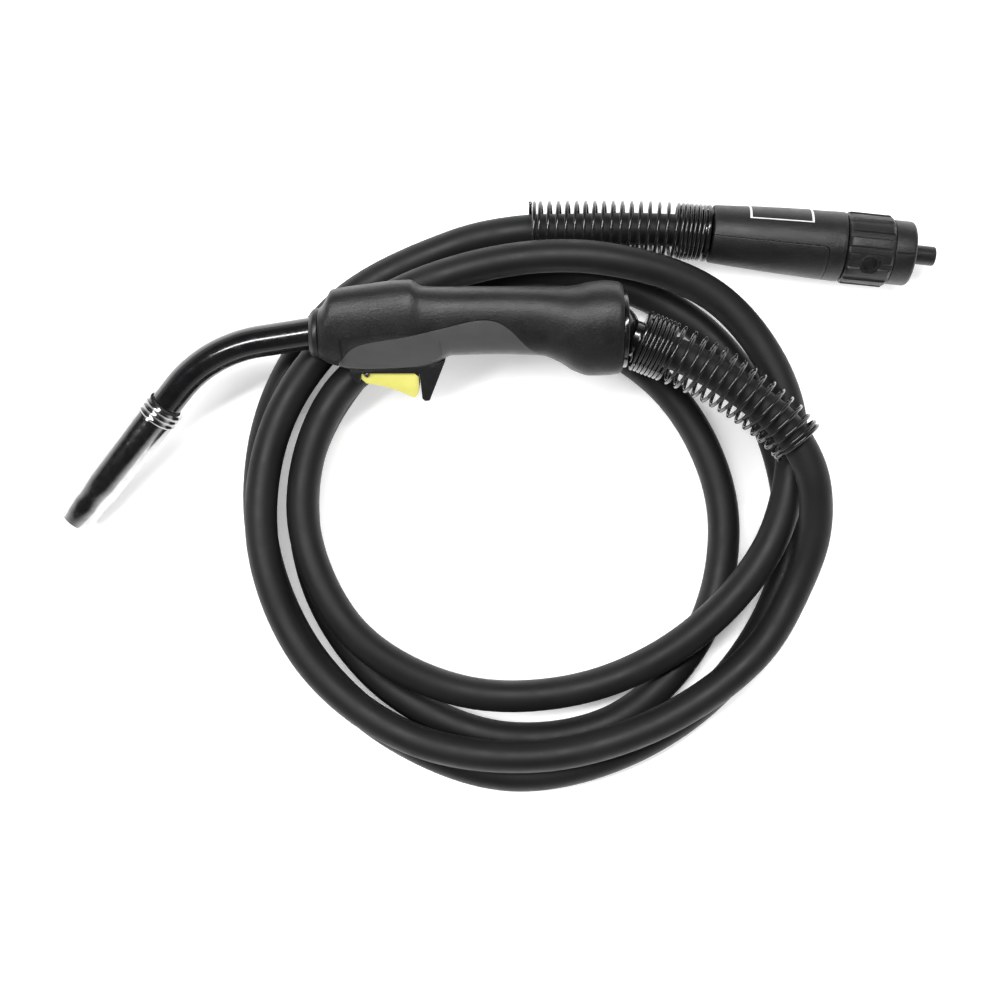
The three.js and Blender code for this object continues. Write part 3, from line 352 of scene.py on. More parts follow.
def trimmed(obj, operation, *tools):
    for tool in tools:
        step = obj.modifiers.new("trim", "BOOLEAN")
        step.operation = operation
        step.solver = "MANIFOLD"
        step.object = tool
    bpy.context.view_layer.update()
    applied(obj)
    for tool in tools:
        bpy.data.objects.remove(tool)
    return obj


def softened(obj, width, sharp=40, segments=2):
    step = obj.modifiers.new("edge", "BEVEL")
    step.width = width * MM
    step.segments = segments
    step.limit_method = "ANGLE"
    step.angle_limit = math.radians(sharp)
    step.use_clamp_overlap = True
    bpy.context.view_layer.update()
    return applied(obj)


def dressed(obj, body, slot, *nodes, sharp=38, look=None):
    """Gives a finished piece its material, smooth shading and body, and hides the CAD nodes it stands for.
    """
    obj.data.materials.clear()
    obj.data.materials.append(LOOK[look or slot])
    for face in obj.data.polygons:
        face.use_smooth = True
    obj.data.set_sharp_from_angle(angle=math.radians(sharp))
    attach(obj, body)
    if nodes:
        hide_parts(*nodes)
    return obj


def fillet(corners, radii, steps=5):
    """A closed outline with its corners rounded: radii is one size or one for each corner."""
    if isinstance(radii, (int, float)):
        radii = [radii] * len(corners)
    outline = []
    count = len(corners)
    for i, radius in enumerate(radii):
        corner = Vector(corners[i])
        before = Vector(corners[i - 1]) - corner
        after = Vector(corners[(i + 1) % count]) - corner
        angle = before.angle(after, math.pi)
        if radius <= 0 or angle > math.radians(172):
            outline.append(tuple(corner))
            continue
        reach = min(radius / math.tan(angle / 2), 0.48 * before.length, 0.48 * after.length)
        size = reach * math.tan(angle / 2)
        back, ahead = before.normalized(), after.normalized()
        middle = corner + (back + ahead).normalized() * (size / math.sin(angle / 2))
        start, end = corner + back * reach, corner + ahead * reach
        a, b = start - middle, end - middle
        turn = a.angle_signed(b)
        for k in range(steps + 1):
            outline.append(tuple(middle + Matrix.Rotation(-turn * k / steps, 2) @ a))
    return outline


def skin(rows, count, closed=False):
    """The faces over rows of points that each go round: a closed skin joins its last row to its first."""
    faces = []
    for k in range(rows if closed else rows - 1):
        here, there = k * count, (k + 1) % rows * count
        for i in range(count):
            j = (i + 1) % count
            faces.append((here + i, here + j, there + j, there + i))
    if not closed:
        faces += [tuple(range(count))[::-1], tuple(range((rows - 1) * count, rows * count))]
    return faces


def lathe(name, profile, place, steps=72):
    """A closed outline of (radius, along) turned about the frame's own x axis."""
    points = []
    for k in range(steps):
        angle = 2 * math.pi * k / steps
        points += [(along, r * math.cos(angle), r * math.sin(angle)) for r, along in profile]
    return object_of(name, points, skin(steps, len(profile), closed=True), place)


def prism(name, outline, low, high, place):
    """A closed outline of (x, y) between two heights of the frame's z."""
    points = [(x, y, z) for z in (low, high) for x, y in outline]
    return object_of(name, points, skin(2, len(outline)), place)


def polygon_rod(name, sides, radius, low, high, place, turn=0.0):
    """A flat-sided rod along the frame's x axis. turn is a share of one side."""
    angles = [2 * math.pi * (k + turn) / sides for k in range(sides)]
    points = [(x, radius * math.cos(a), radius * math.sin(a)) for x in (low, high) for a in angles]
    return object_of(name, points, skin(2, sides), place)


def catmull_rom(points, per_span):
    """Centripetal curve through the points, sampled evenly in each span."""
    points = [Vector(p) for p in points]
    ends = [2 * points[0] - points[1], 2 * points[-1] - points[-2]]
    line = [ends[0], *points, ends[1]]
    made = []
    for i in range(1, len(line) - 2):
        p0, p1, p2, p3 = line[i - 1:i + 3]
        t1 = (p1 - p0).length ** 0.5
        t2 = t1 + (p2 - p1).length ** 0.5
        t3 = t2 + (p3 - p2).length ** 0.5
        for k in range(per_span):
            t = t1 + (t2 - t1) * k / per_span
            a1 = p0.lerp(p1, t / t1)
            a2 = p1.lerp(p2, (t - t1) / (t2 - t1))
            a3 = p2.lerp(p3, (t - t2) / (t3 - t2))
            b1 = a1.lerp(a2, t / t2)
            b2 = a2.lerp(a3, (t - t1) / (t3 - t1))
            made.append(b1.lerp(b2, (t - t1) / (t2 - t1)))
    return [*made, points[-1]]


def tube(name, line, radius, sides, place=Matrix.Identity(4), ends=0.0):
    """A round tube along a line, its frame carried along without twist. ends rounds its two ends."""
    line = [Vector(p) for p in line]
    last = len(line) - 1
    tangents = [(line[min(i + 1, last)] - line[max(i - 1, 0)]).normalized() for i in range(last + 1)]
    normal = tangents[0].orthogonal().normalized()
    points = []

    def add_ring(centre, tangent, size):
        across = tangent.cross(normal)
        for k in range(sides):
            angle = 2 * math.pi * k / sides
            points.append(centre + normal * (size * math.cos(angle)) + across * (size * math.sin(angle)))

    for i, (centre, tangent) in enumerate(zip(line, tangents)):
        normal = (normal - tangent * normal.dot(tangent)).normalized()
        if i == 0 and ends:
            add_ring(centre, tangent, radius - ends)
            add_ring(centre + tangent * ends * 0.3, tangent, radius - ends * 0.3)
            centre = centre + tangent * ends
        if i == last and ends:
            add_ring(centre - tangent * ends, tangent, radius)
            add_ring(centre - tangent * ends * 0.3, tangent, radius - ends * 0.3)
            add_ring(centre, tangent, radius - ends)
            break
        add_ring(centre, tangent, radius)
    return object_of(name, points, skin(len(points) // sides, sides), place)


# ---- cable ----
CABLE_D = 22.5
CABLE_ROUTE = [
    (209.2, 41.3, 68.5), (226, 34.9, 68.4), (252, 22.4, 67.2), (276, 6.5, 65.6), (302, -15.5, 64.7),
    (318.6, -45, 61.5), (323, -83, 51), (313, -121, 40.5), (285, -170, 35.5), (218, -218, 35),
    (133, -241, 35), (45, -228, 35), (-24, -175, 35), (-57, -93, 35), (-45, -6, 35), (9, 63, 35),
    (90, 98, 40.5), (178, 103, 46.5), (261, 75, 37), (308, 3, 34), (300, -84, 35), (245, -154, 35),
    (168, -195, 21), (80, -197, 23.5), (5, -154, 34.5), (-29, -73, 35), (-5, 11, 35), (68, 58, 29),
    (154, 59, 13), (229, 12, 12), (266, -67, 11.5), (252, -154, 11.5), (192, -218, 11.5),
    (106, -231, 11.5), (26, -193, 11.5), (-23, -121, 11.5), (-28, -33, 11.5), (18, 42, 11.5),
    (90, 93, 11.5), (178, 94, 11.5), (256, 54, 11.5), (303, -21, 11.5), (312, -108, 11.5),
    (272, -187, 11.5), (201, -240, 11.5), (115, -259, 11.5), (32, -229, 11.5), (-31, -168, 11.5),
    (-62, -85, 11.5), (-53, 3, 11.5), (-5, 76, 11.5), (73, 117, 12), (117, 127, 14.3),
    (161, 128.5, 15.6), (203, 127.9, 21.4), (236, 125.88, 25), (257.5, 123.69, 25.1), (270, 122.43, 25.1),
]
cable_line = catmull_rom(CABLE_ROUTE, 14)
cable = tube("cable_sheath", cable_line, CABLE_D / 2, 32, ends=0.6)
dressed(cable, "cable", "cable", "cable")


# ---- bend-relief springs ----
SPRING_WIRE = 2.6
SPRING_REST = 0.3
SEAT_FLANGE_R, SEAT_FLANGE_END = 21, 21
PLUG_FLANGE_START, PLUG_FLANGE_END = -1.4, 2.8


def bezier(start, start_angle, end, end_angle):
    def flat(angle):
        return Vector((math.cos(math.radians(angle)), math.sin(math.radians(angle)), 0))

    start, end = Vector(start), Vector(end)
    third = (end - start).length / 3
    p = [start, start + flat(start_angle) * third, end - flat(end_angle) * third, end]
    line = []
    for k in range(201):
        t = k / 200
        a, b, c = p[0].lerp(p[1], t), p[1].lerp(p[2], t), p[2].lerp(p[3], t)
        line.append(a.lerp(b, t).lerp(b.lerp(c, t), t))
    return line


def coil_line(base, diameters, turns, per_turn=36):
    """The wire's centre-line: closed turns, open turns, closed turns along the base line."""
    lengths = [0.0]
    for a, b in zip(base, base[1:]):
        lengths.append(lengths[-1] + (b - a).length)
    total, whole = sum(turns), lengths[-1]
    closed = SPRING_WIRE * 1.12
    pitch = (whole - SPRING_WIRE - closed * (total - turns[1])) / turns[1]
    line, i = [], 0
    for k in range(int(total * per_turn) + 1):
        turn = k / per_turn
        middle = min(max(turn - turns[0], 0), turns[1])
        along = SPRING_WIRE / 2 + closed * (turn - middle) + pitch * middle
        while i < len(lengths) - 2 and lengths[i + 1] < along:
            i += 1
        share = (along - lengths[i]) / (lengths[i + 1] - lengths[i])
        forward = (base[i + 1] - base[i]).normalized()
        across = forward.cross(Vector((0, 0, 1))).normalized()
        up = across.cross(forward)
        u = along / whole
        radius = (diameters[0] * (1 - u) + diameters[1] * u - SPRING_WIRE) / 2
        angle = 2 * math.pi * turn
        centre = base[i].lerp(base[i + 1], share)
        line.append(centre + across * (radius * math.cos(angle)) + up * (radius * math.sin(angle)))
    return line


handle_start = SEAT @ Vector((SEAT_FLANGE_END + SPRING_REST, 0, 0))
handle_base = bezier(handle_start, SEAT_HEADING, (310, -26, 65.5), -50)
handle_coil = coil_line(handle_base, (42, 37), (6, 14, 2))
handle_spring = tube("handle_spring_wire", handle_coil, SPRING_WIRE / 2, 12, ends=0.5)
dressed(handle_spring, "cable", "black_spring", "handle_spring")
plug_start = PLUG @ Vector((PLUG_FLANGE_START - SPRING_REST, 0, 0))
plug_base = bezier(plug_start, 180 + PLUG_HEADING, (128, 128, 20.2), 180)
plug_coil = coil_line(plug_base, (40, 40), (6, 15.5, 1.5))
plug_spring = tube("plug_spring_wire", plug_coil, SPRING_WIRE / 2, 12, ends=0.5)
dressed(plug_spring, "cable", "black_spring", "plug_spring")


# ---- swivel: seat, ball and socket ring ----
def sphere_arc(radius, start, end, count):
    made = []
    for k in range(count + 1):
        along = start + (end - start) * k / count
        made.append((math.sqrt(max(radius * radius - along * along, 0)), along))
    return made


BALL_R = 18
BALL_BORE_R = 7
SOCKET_BORE_R = BALL_R + 0.35
SOCKET_HALF_LENGTH = 6.5
SEAT_NECK_R = BALL_R - 6
SEAT_SLEEVE_R = 17.2
SEAT_LENGTH = 35
CABLE_MOUTH_R = CABLE_D / 2 + 1.4
CABLE_STOP = 26.7
seat_face = [(r, math.sqrt(SOCKET_BORE_R ** 2 - r * r)) for r in range(BALL_BORE_R, SEAT_NECK_R + 1)]
seat_body = fillet(
    [
        (SEAT_NECK_R, 17.2), (18.6, 18.2), (SEAT_FLANGE_R, 19.4), (SEAT_FLANGE_R, SEAT_FLANGE_END),
        (SEAT_SLEEVE_R, SEAT_FLANGE_END), (SEAT_SLEEVE_R, SEAT_LENGTH), (CABLE_MOUTH_R, SEAT_LENGTH),
    ],
    [2, 1.5, 0.6, 0.5, 0.4, 1.2, 0.4],
)
seat_profile = [*seat_face, *seat_body, (CABLE_MOUTH_R, CABLE_STOP), (BALL_BORE_R, CABLE_STOP)]
seat = lathe("spring_seat_moulding", seat_profile, SEAT, 96)
dressed(seat, "cable", "gloss_black", "spring_seat")
BALL_END = math.sqrt(BALL_R ** 2 - BALL_BORE_R ** 2)
ball = lathe("swivel_ball_moulding", sphere_arc(BALL_R, -BALL_END, BALL_END, 40), SEAT, 96)
dressed(ball, "swivel", "gloss_black", "swivel_ball")
RING_R, RING_FLANGE_R, RING_REAR = 21, 25, -9.2
ring_bore = sphere_arc(SOCKET_BORE_R, -SOCKET_HALF_LENGTH, SOCKET_HALF_LENGTH, 20)
ring_body = fillet(
    [(RING_R, SOCKET_HALF_LENGTH), (RING_R, -5.8), (RING_FLANGE_R, -5.8), (RING_FLANGE_R, RING_REAR),
     (RING_R + 0.75, RING_REAR)],
    [0.6, 0.2, 0.5, 1, 0.8], 4,
)
socket = lathe("socket_ring_moulding", [*ring_bore, *ring_body], TORCH, 120)
dressed(socket, "handle", "gloss_black", "socket_ring")


# ---- handle ----
HANDLE_POWER = 2.5
HANDLE_WALL = 3
HANDLE_REAR = -5.5
CAVITY_FRONT = HANDLE_LENGTH - 11
CUT_REACH = 60
HALF_GAP, GRIP_GAP = 0.15, 0.12
NECK_COVER_R = 10.75
NECK_BORE_R = NECK_COVER_R + 0.3
TRIGGER_HALF_WIDTH = 6
FRAME_HALF_WIDTH = TRIGGER_HALF_WIDTH + 2
WIDTH_GAP = 0.3
HANDLE_STATIONS = [
    # u, top, bottom, half width
    (HANDLE_REAR, 30, -27, 25.2), (-3, 31.7, -28.8, 26), (6, 32.7, -29.8, 26), (16, 31.8, -30, 25),
    (26, 29.6, -27, 23.5), (36, 29, -21, 20.5), (48, 29, -16.6, 18), (78, 29.2, -15.8, 17),
    (108, 29, -16.4, 17), (118, 29, -21.4, 17), (128, 29.6, -24.4, 17.3), (136, 33.8, -25.2, 17.8),
    (148, 33.2, -25.8, 17.8), (166, 30.8, -26.4, 17.4), (178, 29.2, -25.6, 17), (184, 28.2, -24.2, 16.8),
    (188.5, 27.2, -23, 16.6), (192, 21.5, -21.4, 16.4), (195, 16.6, -19.6, 16),
    (HANDLE_LENGTH, 15, -18.4, 15.4),
]
GRIP_OUTLINE = [
    (189, -45), (186, -27), (184, -21), (180, -14.5), (174, -8.5), (167, -5.4), (140, -0.2), (116, 5.2),
    (95, 10.4), (84, 11.2), (76, 9.2), (68, 3.6), (59, -6), (47, -17), (38, -30), (36, -45),
]
SCREW_PLACES = [(38, 20), (92, 20.5), (150, 23.5), (32, -17)]
SCREW_HOLE_R, SCREW_HOLE_FLOOR = 3.2, 8.5


def steady(stations, column, u):
    """A smooth value between stations that never passes outside its two neighbours."""
    xs = [s[0] for s in stations]
    ys = [s[column] for s in stations]
    slopes = [(b - a) / (d - c) for a, b, c, d in zip(ys, ys[1:], xs, xs[1:])]

    def tangent(i):
        if i == 0 or i == len(xs) - 1:
            return slopes[0] if i == 0 else slopes[-1]
        a, b = slopes[i - 1], slopes[i]
        return 0 if a * b <= 0 else 2 * a * b / (a + b)

    i = max(k for k in range(len(xs) - 1) if xs[k] <= u or k == 0)
    h = xs[i + 1] - xs[i]
    t = min(max((u - xs[i]) / h, 0), 1)
    return (
        (2 * t ** 3 - 3 * t ** 2 + 1) * ys[i] + (t ** 3 - 2 * t ** 2 + t) * h * tangent(i)
        + (3 * t ** 2 - 2 * t ** 3) * ys[i + 1] + (t ** 3 - t ** 2) * h * tangent(i + 1)
    )


def handle_loft(name, us, inset=0.0, sides=96, overrun=0.0):
    """The handle's outer form, or that form inset, through sections at the given places."""
    points = []
    for u in us:
        top, bottom, half = (steady(HANDLE_STATIONS, c, u) for c in (1, 2, 3))
        top, bottom, half = top - inset, bottom + inset, half - inset
        for k in range(sides):
            angle = 2 * math.pi * k / sides
            c, s = math.cos(angle), math.sin(angle)
            bulge = (abs(c) ** HANDLE_POWER + abs(s) ** HANDLE_POWER) ** (-1 / HANDLE_POWER)
            v = (top + bottom) / 2 + (top - bottom) / 2 * c * bulge
            points.append((u - (overrun if u == us[0] else 0), v, half * s * bulge))
    return object_of(name, points, skin(len(us), sides), TORCH)


def smooth_outline(points, per_span=8):
    inner = catmull_rom([(x, y, 0) for x, y in points], per_span)
    return [(p.x, p.y) for p in inner]


def shifted(outline, distance):
    """A closed outline moved outward by a distance."""
    count = len(outline)
    area = sum(outline[i - 1][0] * outline[i][1] - outline[i][0] * outline[i - 1][1] for i in range(count))
    side = 1 if area > 0 else -1
    moved = []
    for i, (x, y) in enumerate(outline):
        along = (Vector(outline[(i + 1) % count]) - Vector(outline[i - 1])).normalized()
        moved.append((x + side * distance * along.y, y - side * distance * along.x))
    return moved


def steps_between(start, end, step):
    count = max(1, round((end - start) / step))
    return [start + (end - start) * k / count for k in range(count + 1)]


def cross_rod(name, radius, place, low, high, steps=32):
    """A round rod across the handle, along its w axis."""
    u, v = place
    angles = [2 * math.pi * k / steps for k in range(steps)]
    outline = [(u + radius * math.cos(a), v + radius * math.sin(a)) for a in angles]
    return prism(name, outline, low, high, TORCH)


FRAME_SLOT = [(177.3, -20.5), (177.3, -60), (112.2, -60), (112.2, -18.2), (118, -20.5)]


def neck_bore():
    return lathe("neck_bore", [(0, -30), (NECK_BORE_R, -30), (NECK_BORE_R, 60), (0, 60)], NECK, 72)


def facet(side):
    """A wedge that planes a flat beside the trigger, so that the grip has a crease where it starts."""
    section = [(2, 17.7), (-27, 9.0), (-27, 40), (2, 40)]
    points = []
    for u, lean in ((116, -3), (182, 0)):
        points += [(u + (lean if v < 0 else 0), v, side * w) for v, w in section]
    return object_of("facet", points, skin(2, len(section)), TORCH)


def handle_half(side):
    """One half of the hollow handle: side is 1 towards +w and -1 towards -w."""
    half = handle_loft("half", steps_between(HANDLE_REAR, HANDLE_LENGTH, 1.5))
    low, high = (HALF_GAP, CUT_REACH) if side > 0 else (-CUT_REACH, -HALF_GAP)
    keep = prism("keep", [(-50, -80), (260, -80), (260, 80), (-50, 80)], low, high, TORCH)
    trimmed(half, "INTERSECT", keep)
    cavity_sections = steps_between(HANDLE_REAR, CAVITY_FRONT, 3)
    inside = handle_loft("inside", cavity_sections, inset=HANDLE_WALL, sides=64, overrun=4)
    slot_reach = FRAME_HALF_WIDTH + WIDTH_GAP
    slot = prism("slot", FRAME_SLOT, -slot_reach, slot_reach, TORCH)
    trimmed(half, "DIFFERENCE", inside, neck_bore(), slot, facet(side))
    if side > 0:
        holes = [cross_rod("hole", SCREW_HOLE_R, p, SCREW_HOLE_FLOOR, 40) for p in SCREW_PLACES]
        trimmed(half, "DIFFERENCE", *holes)
    return half


grip_line = smooth_outline(GRIP_OUTLINE)
for side, word in ((-1, "left"), (1, "right")):
    shell = handle_half(side)
    grip = shell.copy()
    grip.data = shell.data.copy()
    grip.name = f"grip_{word}_moulding"
    bpy.context.collection.objects.link(grip)
    shell.name = f"handle_{word}_moulding"
    space_line, keep_line = shifted(grip_line, GRIP_GAP), shifted(grip_line, -GRIP_GAP)
    trimmed(shell, "DIFFERENCE", prism("grip_space", space_line, -CUT_REACH, CUT_REACH, TORCH))
    trimmed(grip, "INTERSECT", prism("grip_keep", keep_line, -CUT_REACH, CUT_REACH, TORCH))
    halves = ((shell, "shell", f"handle_shell_{word}"), (grip, "grip", f"grip_insert_{word}"))
    for piece, slot, node in halves:
        clean(piece, 2e-6)
        softened(piece, 0.35, sharp=42)
        dressed(piece, "handle", slot, node, sharp=32)


def cross_place(place, at):
    """A frame whose x axis runs along the handle's w axis from a point."""
    return TORCH @ Matrix.Translation((place[0], place[1], at)) @ turned_about("Y", -90)


def socket_screw(node, place, body, radius, height, crown, edge, socket_r):
    """A screw's head, slightly crowned, with a six-sided socket down to half its height."""
    corners = [(0, 0), (radius, 0), (radius, height), (0, height + crown)]
    head = lathe(f"{node}_head", fillet(corners, [0, 0.1, edge, 0], 4), place, 48)
    trimmed(head, "DIFFERENCE", polygon_rod("socket", 6, socket_r, height / 2, 3, place))
    dressed(head, body, "screws", node)


for k, place in enumerate(SCREW_PLACES):
    seat_place = cross_place(place, SCREW_HOLE_FLOOR + 0.3)
    socket_screw(f"handle_screw_{k + 1}", seat_place, "handle", 2.9, 2, 0.2, 0.5, 1.3)


# ---- trigger and its frame ----
FRAME_OUTLINE = [
    (177, -20.8), (177, -29), (173, -34.4), (170.8, -34.6), (170.4, -27.8), (130.2, -27.8),
    (128.8, -45.6), (127, -47.4), (123.8, -47), (112.6, -18.6), (118, -20.8),
]
TRIGGER_OUTLINE = [
    (169.6, -26.6), (169.8, -32.4), (166.6, -35.4), (155.4, -37.4), (145.4, -40.6), (136.9, -44.6),
    (133.8, -45.6), (131.6, -42.8), (130.8, -37.8), (131, -31), (134, -28.2), (160, -25.8),
]
TRIGGER_PIVOT = (166, -29.4)
PIN_R = 1.5
frame_outline = fillet(FRAME_OUTLINE, [0.3, 1.5, 1.2, 0.8, 0.6, 0.8, 1.2, 1.2, 1.2, 0.3, 0.3], 4)
guard = prism("trigger_frame_moulding", frame_outline, -FRAME_HALF_WIDTH, FRAME_HALF_WIDTH, TORCH)
pocket_half = TRIGGER_HALF_WIDTH + WIDTH_GAP
pocket_outline = [(129.9, -70), (170.1, -70), (170.1, -23), (129.9, -23)]
pocket = prism("pocket", pocket_outline, -pocket_half, pocket_half, TORCH)
trimmed(guard, "DIFFERENCE", pocket, cross_rod("pin_hole", PIN_R + 0.15, TRIGGER_PIVOT, -20, 20))
softened(guard, 0.5)
dressed(guard, "handle", "shell", "trigger_frame")
trigger_outline = fillet(TRIGGER_OUTLINE, [1.5, 1.5, 1.5, 6, 6, 3, 1.5, 1.5, 3, 1.5, 1, 3], 5)
trigger = prism("trigger_moulding", trigger_outline, -TRIGGER_HALF_WIDTH, TRIGGER_HALF_WIDTH, TORCH)
trimmed(trigger, "DIFFERENCE", cross_rod("pin_hole", PIN_R + 0.3, TRIGGER_PIVOT, -20, 20))
softened(trigger, 1.1, segments=4)
dressed(trigger, "trigger", "yellow", "trigger")
pin_end = FRAME_HALF_WIDTH - 0.4
pin_profile = fillet([(0, -pin_end), (PIN_R, -pin_end), (PIN_R, pin_end), (0, pin_end)], [0, 0.3, 0.3, 0], 3)
trigger_pin = lathe("trigger_pin_rod", pin_profile, cross_place(TRIGGER_PIVOT, 0), 32)
dressed(trigger_pin, "handle", "screws", "trigger_pin")


# ---- neck, collar and nozzle ----
NECK_START = -52.5
NECK_SPAN = NOZZLE_PLANE - 1 - NECK_START
neck_line = [neck_point(NECK_START + NECK_SPAN * k / 90) for k in range(91)]
neck = tube("neck_cover_tube", neck_line, NECK_COVER_R, 64, NECK, ends=0.8)
dressed(neck, "handle", "gloss_black", "neck_cover")
COLLAR_R = 16.8
COLLAR_PLACE = TORCH @ Matrix.Translation((HANDLE_LENGTH, -2.2, 0))
collar_profile = fillet(
    [(0, 0.3), (COLLAR_R, 0.3), (COLLAR_R, 3.4), (COLLAR_R - 2.6, 6.1), (0, 6.3)], [0, 0.5, 2.6, 1.2, 0], 6,
)
collar = lathe("front_collar_moulding", collar_profile, COLLAR_PLACE, 96)
trimmed(collar, "DIFFERENCE", neck_bore())
softened(collar, 0.2, sharp=50)
dressed(collar, "handle", "shell", "front_collar", look="smooth_black")


def nozzle_profile():
    """Three round beads behind a straight body that eases down to a thicker-walled mouth."""
    bore, body, tip, mouth, length = 11.7, 13.6, 12.4, 10.2, 112
    bead_pitch, bead_width, bead_foot, bead_height = 4, 3.2, 13.3, 1.1
    taper_start, taper_length = 74, 20
    outline = [(bore + 0.3, 0), (bead_foot - 0.3, 0)]
    for k in range(3):
        start = 0.5 + bead_pitch * k
        for t in (i / 8 for i in range(9)):
            outline.append((bead_foot + bead_height * math.sin(math.pi * t), start + bead_width * t))
    outline += [(body, 12.9), (body, taper_start)]
    for t in (i / 12 for i in range(1, 13)):
        drop = (body - tip) * (0.5 - 0.5 * math.cos(math.pi * t))
        outline.append((body - drop, taper_start + taper_length * t))
    outline += [(tip, length - 0.8), (tip - 0.25, length - 0.2), (tip - 0.7, length)]
    outline += [(mouth + 0.5, length), (mouth, length - 0.4), (mouth, 90), (bore, 82), (bore, 0.3)]
    return outline


nozzle = lathe("gas_nozzle_tube", nozzle_profile(), NOZZLE, 120)
dressed(nozzle, "nozzle", "nozzle", "gas_nozzle", sharp=50)


# ---- connector: housing and cover ----
HOUSING_START, HOUSING_END = 3.1, 94.8
HOUSING_LENGTH = HOUSING_END - HOUSING_START
CRIMP_CLEAR_R = 13.05


def housing_radius(a):
    """The cone under the housing's slight bulge."""
    return 20 + 4.2 * (a - HOUSING_START) / HOUSING_LENGTH


def housing_surface(a):
    return housing_radius(a) + 0.5 * math.sin(math.pi * (a - HOUSING_START) / HOUSING_LENGTH)


def housing_solid(name):
    middle = [HOUSING_START + HOUSING_LENGTH * k / 32 for k in range(1, 32)]
    outer = [
        (housing_surface(HOUSING_START) - 0.8, HOUSING_START),
        (housing_radius(HOUSING_START + 0.8) - 0.1, HOUSING_START + 0.6),
        *((housing_surface(a), a) for a in middle),
        (24.1, HOUSING_END - 0.6), (housing_surface(HOUSING_END) - 0.8, HOUSING_END),
    ]
    floor_at = HOUSING_START + 2.8
    inner = [
        (21.4, HOUSING_END), (17.2, floor_at), (CRIMP_CLEAR_R, floor_at), (CRIMP_CLEAR_R, HOUSING_START),
    ]
    return lathe(name, [*outer, *inner], PLUG, 120)


COVER_PLACE = PLUG @ turned_about("X", 13)


def cover_space(grow, name):
    corners = [(-7, -60), (83 + grow, -60), (83 + grow, grow), (-7, grow)]
    return prism(name, fillet(corners, [0, 0, 4, 0], 8), -60, 60, COVER_PLACE)


housing = housing_solid("plug_housing_moulding")
trimmed(housing, "DIFFERENCE", cover_space(HALF_GAP, "cover_space"))
cover = housing_solid("plug_cover_moulding")
trimmed(cover, "INTERSECT", cover_space(-HALF_GAP, "cover_keep"))
PLUG_SCREW_FLOOR = 5.3
for k, a in enumerate((24, 66)):
    place = COVER_PLACE @ Matrix.Translation((a, 0, -(housing_radius(a) - 5.2))) @ turned_about("Z", -90)
    hole_profile = [(0, PLUG_SCREW_FLOOR), (2.8, PLUG_SCREW_FLOOR), (2.8, 40), (0, 40)]
    trimmed(cover, "DIFFERENCE", lathe("hole", hole_profile, place, 32))
    seat_place = place @ Matrix.Translation((PLUG_SCREW_FLOOR, 0, 0))
    socket_screw(f"plug_screw_{k + 1}", seat_place, "cable", 2.5, 1.8, 0.1, 0.4, 1.1)
for piece, node in ((housing, "plug_housing"), (cover, "plug_cover")):
    clean(piece, 2e-6)
    softened(piece, 0.3, sharp=42)
    dressed(piece, "cable", "shell", node, sharp=32)


def label_patch(name, a_range, turn_range, lift, columns=24, rows=12, thickness=0.06):
    """A thin sticker bent over the housing: turn is measured from the top towards +y."""
    points, faces = [], []
    for layer in (0, 1):
        for i in range(columns + 1):
            a = a_range[0] + (a_range[1] - a_range[0]) * i / columns
            radius = housing_surface(a) + lift + thickness * layer
            for j in range(rows + 1):
                turn = math.radians(turn_range[0] + (turn_range[1] - turn_range[0]) * j / rows)
                points.append((a, radius * math.sin(turn), radius * math.cos(turn)))
    count = (columns + 1) * (rows + 1)
    for layer in (0, 1):
        for i in range(columns):
            for j in range(rows):
                k = layer * count + i * (rows + 1) + j
                faces.append((k, k + 1, k + rows + 2, k + rows + 1))
    border = [i * (rows + 1) for i in range(columns + 1)]
    border += [columns * (rows + 1) + j for j in range(1, rows + 1)]
    border += [i * (rows + 1) + rows for i in range(columns - 1, -1, -1)]
    border += [j for j in range(rows - 1, 0, -1)]
    for here, there in zip(border, border[1:] + border[:1]):
        faces.append((here, there, there + count, here + count))
    return object_of(name, points, faces, PLUG)


sticker = label_patch("label_border", (27, 71), (27, 84), 0.03)
dressed(sticker, "cable", "shell", look="label")
panel = label_patch("label_panel", (28.5, 69.5), (29, 82), 0.16)
dressed(panel, "cable", "shell", look="smooth_black")


# ---- connector: spring seat, nut, cap and the parts inside it ----
PLUG_SLEEVE_R, PLUG_SLEEVE_START, PLUG_FLANGE_R = 16.2, -14, 20
plug_seat_body = fillet(
    [(PLUG_SLEEVE_R, PLUG_SLEEVE_START), (PLUG_SLEEVE_R, PLUG_FLANGE_START),
     (PLUG_FLANGE_R, PLUG_FLANGE_START), (PLUG_FLANGE_R, PLUG_FLANGE_END)],
    [0.8, 0.2, 0.5, 0.5], 4,
)
plug_seat_profile = [(CRIMP_CLEAR_R, PLUG_SLEEVE_START), *plug_seat_body, (CRIMP_CLEAR_R, PLUG_FLANGE_END)]
plug_seat = lathe("plug_spring_seat_moulding", plug_seat_profile, PLUG, 96)
dressed(plug_seat, "cable", "gloss_black", "plug_spring_seat")


NUT_START, NUT_END = 95.6, 128
NUT_R, RIB_RISE = 23.8, 1.2


